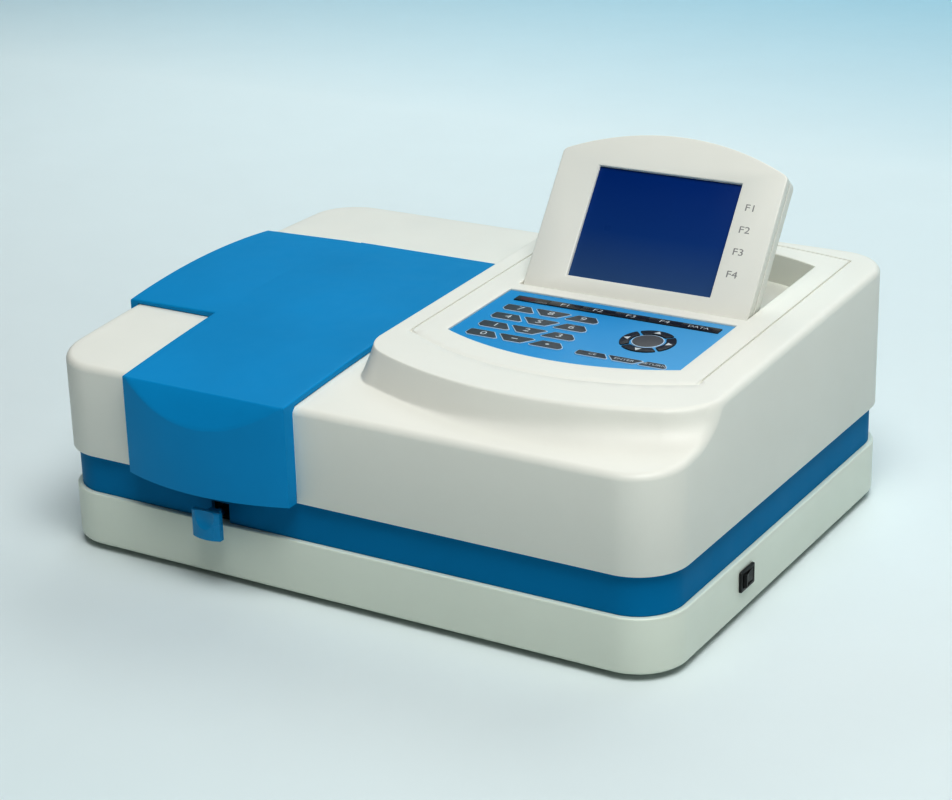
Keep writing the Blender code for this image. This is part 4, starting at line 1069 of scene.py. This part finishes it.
def nested_key_outline(column, spans, y, height):
    """A key of a row of three, with slanted sides that nest with its neighbours'."""
    half = height / 2
    left, right = spans[column]
    corners = (((left, -0.45), (left + 0.55 * half, -1), (right - 0.35 * half, -1), (right, -0.65),
                (right - 1.26 * half, 1), (left + 0.3 * half, 1), (left + 0.05 * half, 0.75)),
               ((left + 1.55 * half, -1), (right - 1.3 * half, -1), (right, 0.75),
                (right - 0.5 * half, 1), (left + 0.35 * half, 1), (left, 0.75)),
               ((left, -0.75), (left + 0.35 * half, -1), (right - 0.4 * half, -1), (right, -0.6),
                (right - 0.05 * half, -0.1), (right - 0.93 * half, 1), (left + 1.15 * half, 1)))
    return [(x, y + share * half) for x, share in corners[column]]


def turn_at(before, here, after, radius, steps):
    """The smooth turn that replaces an outline's corner."""
    before, here, after = Vector(before), Vector(here), Vector(after)
    start = here + (before - here).normalized() * radius
    end = here + (after - here).normalized() * radius
    return bend(start, here, end, steps)


def softened(outline, radius, steps=3):
    """An outline whose corners are rounded."""
    count = len(outline)
    result = []
    for i in range(count):
        result += turn_at(outline[i - 1], outline[i], outline[(i + 1) % count], radius, steps)
    return result


def ring_sector(middle_angle):
    """An arrow key's outline: a piece of a ring with rounded corners."""
    outer = arc_points((PAD_X, PAD_Y), ARROW_OUTER, middle_angle - 42, middle_angle + 42, 14)
    inner = arc_points((PAD_X, PAD_Y), ARROW_INNER, middle_angle + 40, middle_angle - 40, 10)
    corners = [turn_at(*three, 0.0012, 3)
               for three in ((inner[-1], outer[0], outer[1]), (outer[-2], outer[-1], inner[0]),
                             (outer[-1], inner[0], inner[1]), (inner[-2], inner[-1], outer[0]))]
    return corners[0] + outer[1:-1] + corners[1] + corners[2] + inner[1:-1] + corners[3]


def key_shapes():
    """The outline of each key of a block of rows, with its print and the print's height."""
    keys = {}
    rows = (("7", "8", "9"), ("4", "5", "6"), ("1", "2", "3"), ("0", "minus", "point"))
    for row, y in zip(rows, NUMBER_ROW_Y):
        for column, legend in enumerate(row):
            keys["key_" + legend] = nested_key_outline(column, NUMBER_SPANS, y, NUMBER_HEIGHT), legend, 0.0054
    for column, (name, legend) in enumerate((("clear", "CE"), ("enter", "ENTER"), ("return", "RETURN"))):
        outline = nested_key_outline(column, COMMAND_SPANS, COMMAND_ROW_Y, COMMAND_HEIGHT)
        keys["key_" + name] = outline, legend, 0.0026
    return keys


def centre_of(outline):
    """The middle of an outline's box."""
    across, along = zip(*outline)
    return Vector(((min(across) + max(across)) / 2, (min(along) + max(along)) / 2, 0))


def key_face(outline, low, rounding, material):
    """A key's face, with its upper edge rounded."""
    return lofted("face", pillow(outline, low, KEY_TOP, rounding, 3), material)


def on_console(name, *parts):
    """Parts drawn on the keypad's plane, made one and laid on the console."""
    return moved(merged(name, parts), PANEL)


def printed_key(name, outline, legend, height):
    """A key of the number or command block: pale outline, dark domed face, white print."""
    rim = both_rounded(softened(outline, 0.0005), KEY_LOW, KEY_TOP - 0.00018, 0.00012, 2)
    face = key_face(softened(grown(outline, -0.0006), 0.0004), KEY_TOP - FACE_THICK, 0.00016, KEY)
    if legend == "minus":
        mark = printed_shape(rounded_rectangle(-0.0019, 0.0019, -0.0006, 0.0006, 0.0004, 3))
    elif legend == "point":
        mark = printed_shape(circle((0, 0), 0.0011, 20))
    else:
        mark = lettering(legend, height, LEGEND)
    placed(mark, centre_of(outline) + Vector((0, 0, KEY_TOP)))
    return on_console(name + "_cap", lofted("plate", rim, OUTLINE), face, mark)


def printed_shape(outline):
    """A flat printed mark on its own origin."""
    return lofted("mark", [level(outline, -0.0001), level(outline, 0.00004)], LEGEND)


def arrow_key(name, angle):
    """One of the four arrow keys around the centre key, with its white triangle."""
    face = key_face(ring_sector(angle), KEY_LOW, 0.00025, PAD_KEY)
    tip, base, half = 0.0182, 0.0138, 0.0026
    triangle = printed_shape([(tip, 0.0), (base, half), (base, -half)])
    turn = Matrix.Translation((PAD_X, PAD_Y, KEY_TOP)) @ Matrix.Rotation(math.radians(angle), 4, "Z")
    return on_console(name + "_cap", face, moved(triangle, turn))


def centre_key():
    """The round key in the middle of the arrows, with its pale rim."""
    rim = pillow(circle((PAD_X, PAD_Y), CENTRE_KEY_RADIUS, 48), KEY_LOW, KEY_TOP - 0.00015, 0.0001, 2)
    inner = circle((PAD_X, PAD_Y), CENTRE_KEY_RADIUS - 0.0008, 48)
    face = key_face(inner, KEY_TOP - FACE_THICK, 0.0002, CENTRE)
    return on_console("centre_key_cap", lofted("ring", rim, OUTLINE), face)


def soft_key(name, index, legend):
    """One of the five keys along the black bar under the display."""
    x0 = SOFT_BAR_X0 + SOFT_KEY_PITCH * index
    x1, height, wide = (x0 + SOFT_KEY_PITCH, 0.0039, 1.45) if index < 4 else (SOFT_BAR_X1, 0.0035, 1.15)
    face = key_face(bar_outline(x0 + 0.0001, x1 - 0.0001), KEY_LOW, 0.00012, BAR)
    mark = placed(lettering(legend, height, LEGEND), (x0 + SOFT_KEY_PITCH / 2, SOFT_BAR_Y, KEY_TOP), wide)
    return on_console(name + "_cap", face, mark)


def bar_outline(x0, x1):
    """A stretch of the black bar under the display."""
    return rectangle(x0, x1, SOFT_BAR_Y - SOFT_BAR_DEPTH / 2, SOFT_BAR_Y + SOFT_BAR_DEPTH / 2)


def indicator_window():
    """The fixed left end of the soft keys' bar, with the dark red window over its lamp."""
    face = key_face(bar_outline(BAR_X0, SOFT_BAR_X0 - 0.0001), KEY_LOW, 0.00012, BAR)
    pane = rounded_rectangle(BAR_X0 + 0.0035, BAR_X0 + 0.0150,
                             SOFT_BAR_Y - 0.0023, SOFT_BAR_Y + 0.0023, 0.0008, 3)
    window = lofted("pane", [level(pane, KEY_TOP - 0.0002), level(pane, KEY_TOP + 0.00003)], RED_WINDOW)
    return on_console("indicator_window", face, window)


def keypad_membrane(windows):
    """The printed blue film with a window for each key, let into the console."""
    outline = refined(panel_outline(0), 0.004)
    skin = Skin()
    thickness = PAD_DEPTH + MEMBRANE_TOP - 0.0001
    outer = skin.lathe([level(outline, MEMBRANE_TOP - thickness), level(outline, MEMBRANE_TOP - 0.0001),
                        level(grown(outline, -0.0001), MEMBRANE_TOP)])
    tops, lows = [], []
    for window in windows:
        made = skin.lathe([level(window, MEMBRANE_TOP), level(window, MEMBRANE_TOP - thickness)])
        tops.append(made[0])
        lows.append(made[1])
    skin.cap(outer[-1], tops, height=lambda p: p[:, 0] * 0 + MEMBRANE_TOP)
    skin.cap(outer[0], lows, height=lambda p: p[:, 0] * 0 + MEMBRANE_TOP - thickness, flip=True)
    return moved(skin.thing("membrane", MEMBRANE), PANEL)


# ---- small outside pieces
def scoop_ball(centre, radius):
    """The lower part of a ball, which presses a finger scoop into a face."""
    x, y, z = centre
    angles = [math.radians(-58 + 68 * i / 32) for i in range(33)]
    return lofted("cutter", [level(circle((x, y), radius * math.cos(a), 144), z + radius * math.sin(a))
                             for a in angles])


def pull_knob():
    """The blue grip of the cell rod: a bowed plate on a stem, with the lid's finger scoop in small."""
    x, z, front, plate, back = -0.0955, 0.0447, -0.2025, -0.1965, -0.1862
    half_x, half_z = 0.0115, 0.0103
    bow = arc_through((x - half_x, front + 0.0025), (x, front), (x + half_x, front + 0.0025), 16)
    outline = bow + [(x + half_x, plate), (x - half_x, plate)]
    knob = lofted("knob", both_rounded(outline, z - half_z, z + half_z, 0.0009, 8), KNOB)
    cut(knob, scoop_ball((x, front - 0.0229, z + 0.0085), 0.0254))
    stem = rounded_rectangle(*around((-0.0975, 0.0462), (0.005, 0.005)), 0.0012, 4)
    join(knob, prism_y(stem, plate - 0.0005, back))
    return shaded(knob, math.radians(13))


def switch_housing():
    """The rocker's bezel outside the wall and its open box inside."""
    wall = HALF_W - TRAY_INSET
    long, tall = SWITCH_HALF
    outline = rounded_rectangle(*around(SWITCH_AT, SWITCH_HALF), 0.0012, 4)
    profile = ((0, wall + 0.0002), (0, SWITCH_FRONT - 0.0006), (-0.0002, SWITCH_FRONT - 0.0002),
               (-0.0006, SWITCH_FRONT))
    body = lofted("housing", [facing_x(grown(outline, grow), x) for grow, x in profile], BLACK)
    join(body, box(0.2215, wall + 0.001, *around(SWITCH_AT, (long - 0.0013, tall - 0.0013))))
    return cut(body, box(0.2275, 0.25, *around(SWITCH_AT, (long - 0.0023, tall - 0.0023))))


def switch_rocker():
    """The rocker with its V-shaped face, rocked over to one side."""
    reach, half = SWITCH_FRONT - ROCKER_X + 0.0011, 0.0070
    half_t = SWITCH_HALF[1] - 0.0027
    outline = [(-0.0030, 0.004), (-0.0030, -0.004), (0.0010, -half), (reach, -half),
               (reach - 0.0006, -half * 0.5), (reach - 0.0011, 0.0), (reach - 0.0006, half * 0.5),
               (reach, half), (0.0010, half)]
    rocker = lofted("rocker", both_rounded(softened(outline, 0.0003, 2), -half_t, half_t, 0.0003, 2), BLACK)
    place = Matrix.Translation((ROCKER_X, *SWITCH_AT))
    return moved(rocker, place @ Matrix.Rotation(math.radians(9), 4, "Z"))


def rubber_foot(x, y):
    """A turned rubber foot with rounded rims and a shallow dish around its screw."""
    profile = ((0.0105, 0.0), (0.0110, -0.0006), (0.0110, -0.0034), (0.0106, -0.0042), (0.0098, -0.0045),
               (0.0062, -0.0045), (0.0058, -0.0043), (0.0052, -0.0034))
    return lofted("foot", [level(circle((x, y), r, 40), z) for r, z in profile], RUBBER)


def power_inlet():
    """The mains inlet: a flange with chamfered corners, its socket and three blade pins."""
    (x, z), wall, back = INLET_AT, HALF_D - TRAY_INSET + 0.0002, 0.1868
    outline = softened(rectangle(*around(INLET_AT, (0.017, 0.013))), 0.003, 5)
    profile = ((0, wall), (0, back - 0.0007), (-0.0003, back - 0.0002), (-0.0008, back))
    flange = lofted("flange", [facing_y(grown(outline, grow), y) for grow, y in profile], BLACK)
    join(flange, box(x - 0.013, x + 0.013, 0.166, 0.185, z - 0.010, z + 0.010))
    socket = [(x - 0.011, z - 0.008), (x + 0.011, z - 0.008), (x + 0.011, z + 0.0045),
              (x + 0.0075, z + 0.008), (x - 0.0075, z + 0.008), (x - 0.011, z + 0.0045)]
    cut(flange, prism_y(softened(socket, 0.0012, 3), 0.1695, 0.19))
    pins = []
    for dx, dz in ((-0.007, -0.0035), (0.0, 0.0005), (0.007, -0.0035)):
        outline = rectangle(*around((x + dx, z + dz), (0.001, 0.002)))
        profile = ((0, 0.168), (0, 0.1812), (-0.0004, 0.182))
        pins.append(lofted("pin", [facing_y(grown(outline, grow), y) for grow, y in profile], PINS))
    return merged("inlet", [flange, *pins])


def signal_port():
    """The metal face of the main board's port: a plate and a D-shaped shroud with its black insert."""
    x, z = PORT_AT
    plate = rounded_rectangle(*around(PORT_AT, (0.0166, 0.0061)), 0.0022, 5)
    shroud = softened([(x - 0.0112, z - 0.0047), (x + 0.0112, z - 0.0047), (x + 0.0124, z + 0.0047),
                       (x - 0.0124, z + 0.0047)], 0.0018, 4)
    layers = ((plate, 0.1834, 0.1842, STEEL), (shroud, 0.1840, 0.1866, STEEL),
              (grown(shroud, -0.0008), 0.1862, 0.1867, BLACK))
    return merged("signal_port", [lofted("part", [facing_y(outline, y0), facing_y(outline, y1)], material)
                                  for outline, y0, y1, material in layers])


# ---- stage, light, camera
def floor():
    """A wide pale floor that curves up behind, with a faint unevenness in its tone."""
    half_x, front, back, radius = 4.5, -3.2, 2.2, 1.2
    bend_up = [(back + radius * math.sin(a), radius * (1 - math.cos(a))) for a in quarter(12)]
    profile = [(front, 0.0)] + bend_up + [(back + radius, 4.0)]
    mesh = bpy.data.meshes.new("floor")
    points = [(x, y, z) for y, z in profile for x in (-half_x, half_x)]
    faces = [(2 * i, 2 * i + 1, 2 * i + 3, 2 * i + 2) for i in range(len(profile) - 1)]
    mesh.from_pydata(points, [], faces)
    paint = gradient(plastic("floor_paint", (0.8, 0.8, 0.8), 0.6, depth=0.0),
                     ((0.69, 0.83, 0.84), (0.74, 0.80, 0.80), (0.84, 0.94, 0.95), (0.46, 0.76, 0.88)),
                     -1.2, 2.1, "Y", 0.012)
    finished("floor", mesh, (paint,))


def area_light(name, place, target, size, power):
    """A soft lamp at a place, turned towards another."""
    light = bpy.data.lights.new(name, "AREA")
    light.shape = "RECTANGLE"
    light.size, light.size_y = size
    light.energy = power
    thing = bpy.data.objects.new(name, light)
    bpy.context.scene.collection.objects.link(thing)
    thing.location = place
    thing.rotation_euler = (Vector(target) - Vector(place)).to_track_quat("-Z", "Y").to_euler()


def studio():
    """The light: a faint sky, four soft lamps and the floor."""
    scene = bpy.context.scene
    scene.view_settings.view_transform = "Standard"
    scene.view_settings.gamma = 0.77
    world = bpy.data.worlds.new("studio")
    world.use_nodes = True
    back = world.node_tree.nodes["Background"]
    back.inputs["Color"].default_value = (0.86, 0.93, 0.96, 1)
    back.inputs["Strength"].default_value = 0.12
    scene.world = world
    area_light("top_softbox", (0.95, -0.95, 2.8), (0.1, 0.0, 0.1), (1.9, 1.8), 81.0)
    area_light("right_softbox", (1.9, -0.8, 0.9), (0.1, 0.0, 0.10), (1.2, 0.9), 2.5)
    area_light("left_softbox", (-1.0, 0.9, 1.4), (-2.0, 0.8, 0.0), (1.2, 1.2), 6.0)
    area_light("backdrop_softbox", (-0.3, 2.5, 2.6), (-0.5, 2.2, 0.0), (3.6, 1.4), 32.0)
    floor()


def camera():
    """The eye of the picture: its place, its axes and its lens."""
    data = bpy.data.cameras.new("camera")
    data.sensor_width = 36.0
    data.lens = 88.25
    data.shift_x = -0.00225
    data.shift_y = -0.0180
    data.clip_end = 50
    thing = bpy.data.objects.new("camera", data)
    bpy.context.scene.collection.objects.link(thing)
    right, up, back = (0.85868, 0.51194, -0.02410), (-0.16237, 0.31634, 0.93465), (0.48611, -0.79865, 0.35475)
    turn = Matrix((right, up, back)).transposed().to_4x4()
    thing.matrix_world = Matrix.Translation(Vector((0.80984, -1.33054, 0.68701)) + ORIGIN) @ turn
    bpy.context.scene.camera = thing


# ---- assembly
def build():
    """Makes every piece and ties it to the body that it rides on."""
    camera()
    studio()
    home(upper_casing(), "housing", "upper_casing", slot="casing_white")
    home(base_tray(), "housing", "base_tray", slot="tray_white")
    home(waist_band(), "housing", "band_frame", slot="lid_blue")
    home(sample_lid(), "lid", "sample_lid", slot="lid_blue")

    bezel, legends = display_bezel()
    home(bezel, "display", "display_bezel", slot="casing_white")
    home(legends, "display")
    home(display_back(), "display", "display_back", slot="casing_white")
    home(lcd_panel(), "display", "lcd_panel", slot="screen")

    keys = key_shapes()
    for name, (outline, legend, height) in keys.items():
        home(printed_key(name, outline, legend, height), name + "_body", name, slot="key_grey")
    windows = [softened(grown(outline, KEY_GAP), 0.0005) for outline, _, _ in keys.values()]
    for name, angle in (("arrow_right", 0), ("arrow_up", 90), ("arrow_left", 180), ("arrow_down", 270)):
        home(arrow_key(name, angle), name + "_body", name, slot="key_grey")
        windows.append(grown(ring_sector(angle), KEY_GAP))
    home(centre_key(), "centre_key_body", "centre_key", slot="key_grey")
    windows.append(circle((PAD_X, PAD_Y), CENTRE_KEY_RADIUS + KEY_GAP, 48))
    for index, (name, legend) in enumerate((("soft_key_1", "F1"), ("soft_key_2", "F2"), ("soft_key_3", "F3"),
                                            ("soft_key_4", "F4"), ("data_key", "DATA"))):
        home(soft_key(name, index, legend), name + "_body", name, slot="key_grey")
    home(indicator_window(), "housing", slot="black_plastic")
    windows.append(grown(bar_outline(BAR_X0, SOFT_BAR_X1), KEY_GAP))
    home(keypad_membrane(windows), "housing", "keypad_panel", slot="membrane_blue")

    home(pull_knob(), "cell_changer", "pull_knob", slot="lid_blue")
    home(switch_housing(), "housing", "switch_body", slot="black_plastic")
    home(switch_rocker(), "rocker", "switch_rocker", slot="black_plastic")
    for corner, x, y in (("front_left", -1, -1), ("front_right", 1, -1),
                         ("back_left", -1, 1), ("back_right", 1, 1)):
        foot = rubber_foot(x * FOOT_X, y * FOOT_Y)
        foot.name = "rubber_foot_" + corner
        home(foot, "housing", "foot_" + corner, slot="rubber")
    home(power_inlet(), "housing", "power_inlet", slot="black_plastic")
    home(signal_port(), "housing")

    for material, *names in INSIDE:
        for name in names:
            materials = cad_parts[name].data.materials
            materials.clear()
            materials.append(material)


build()
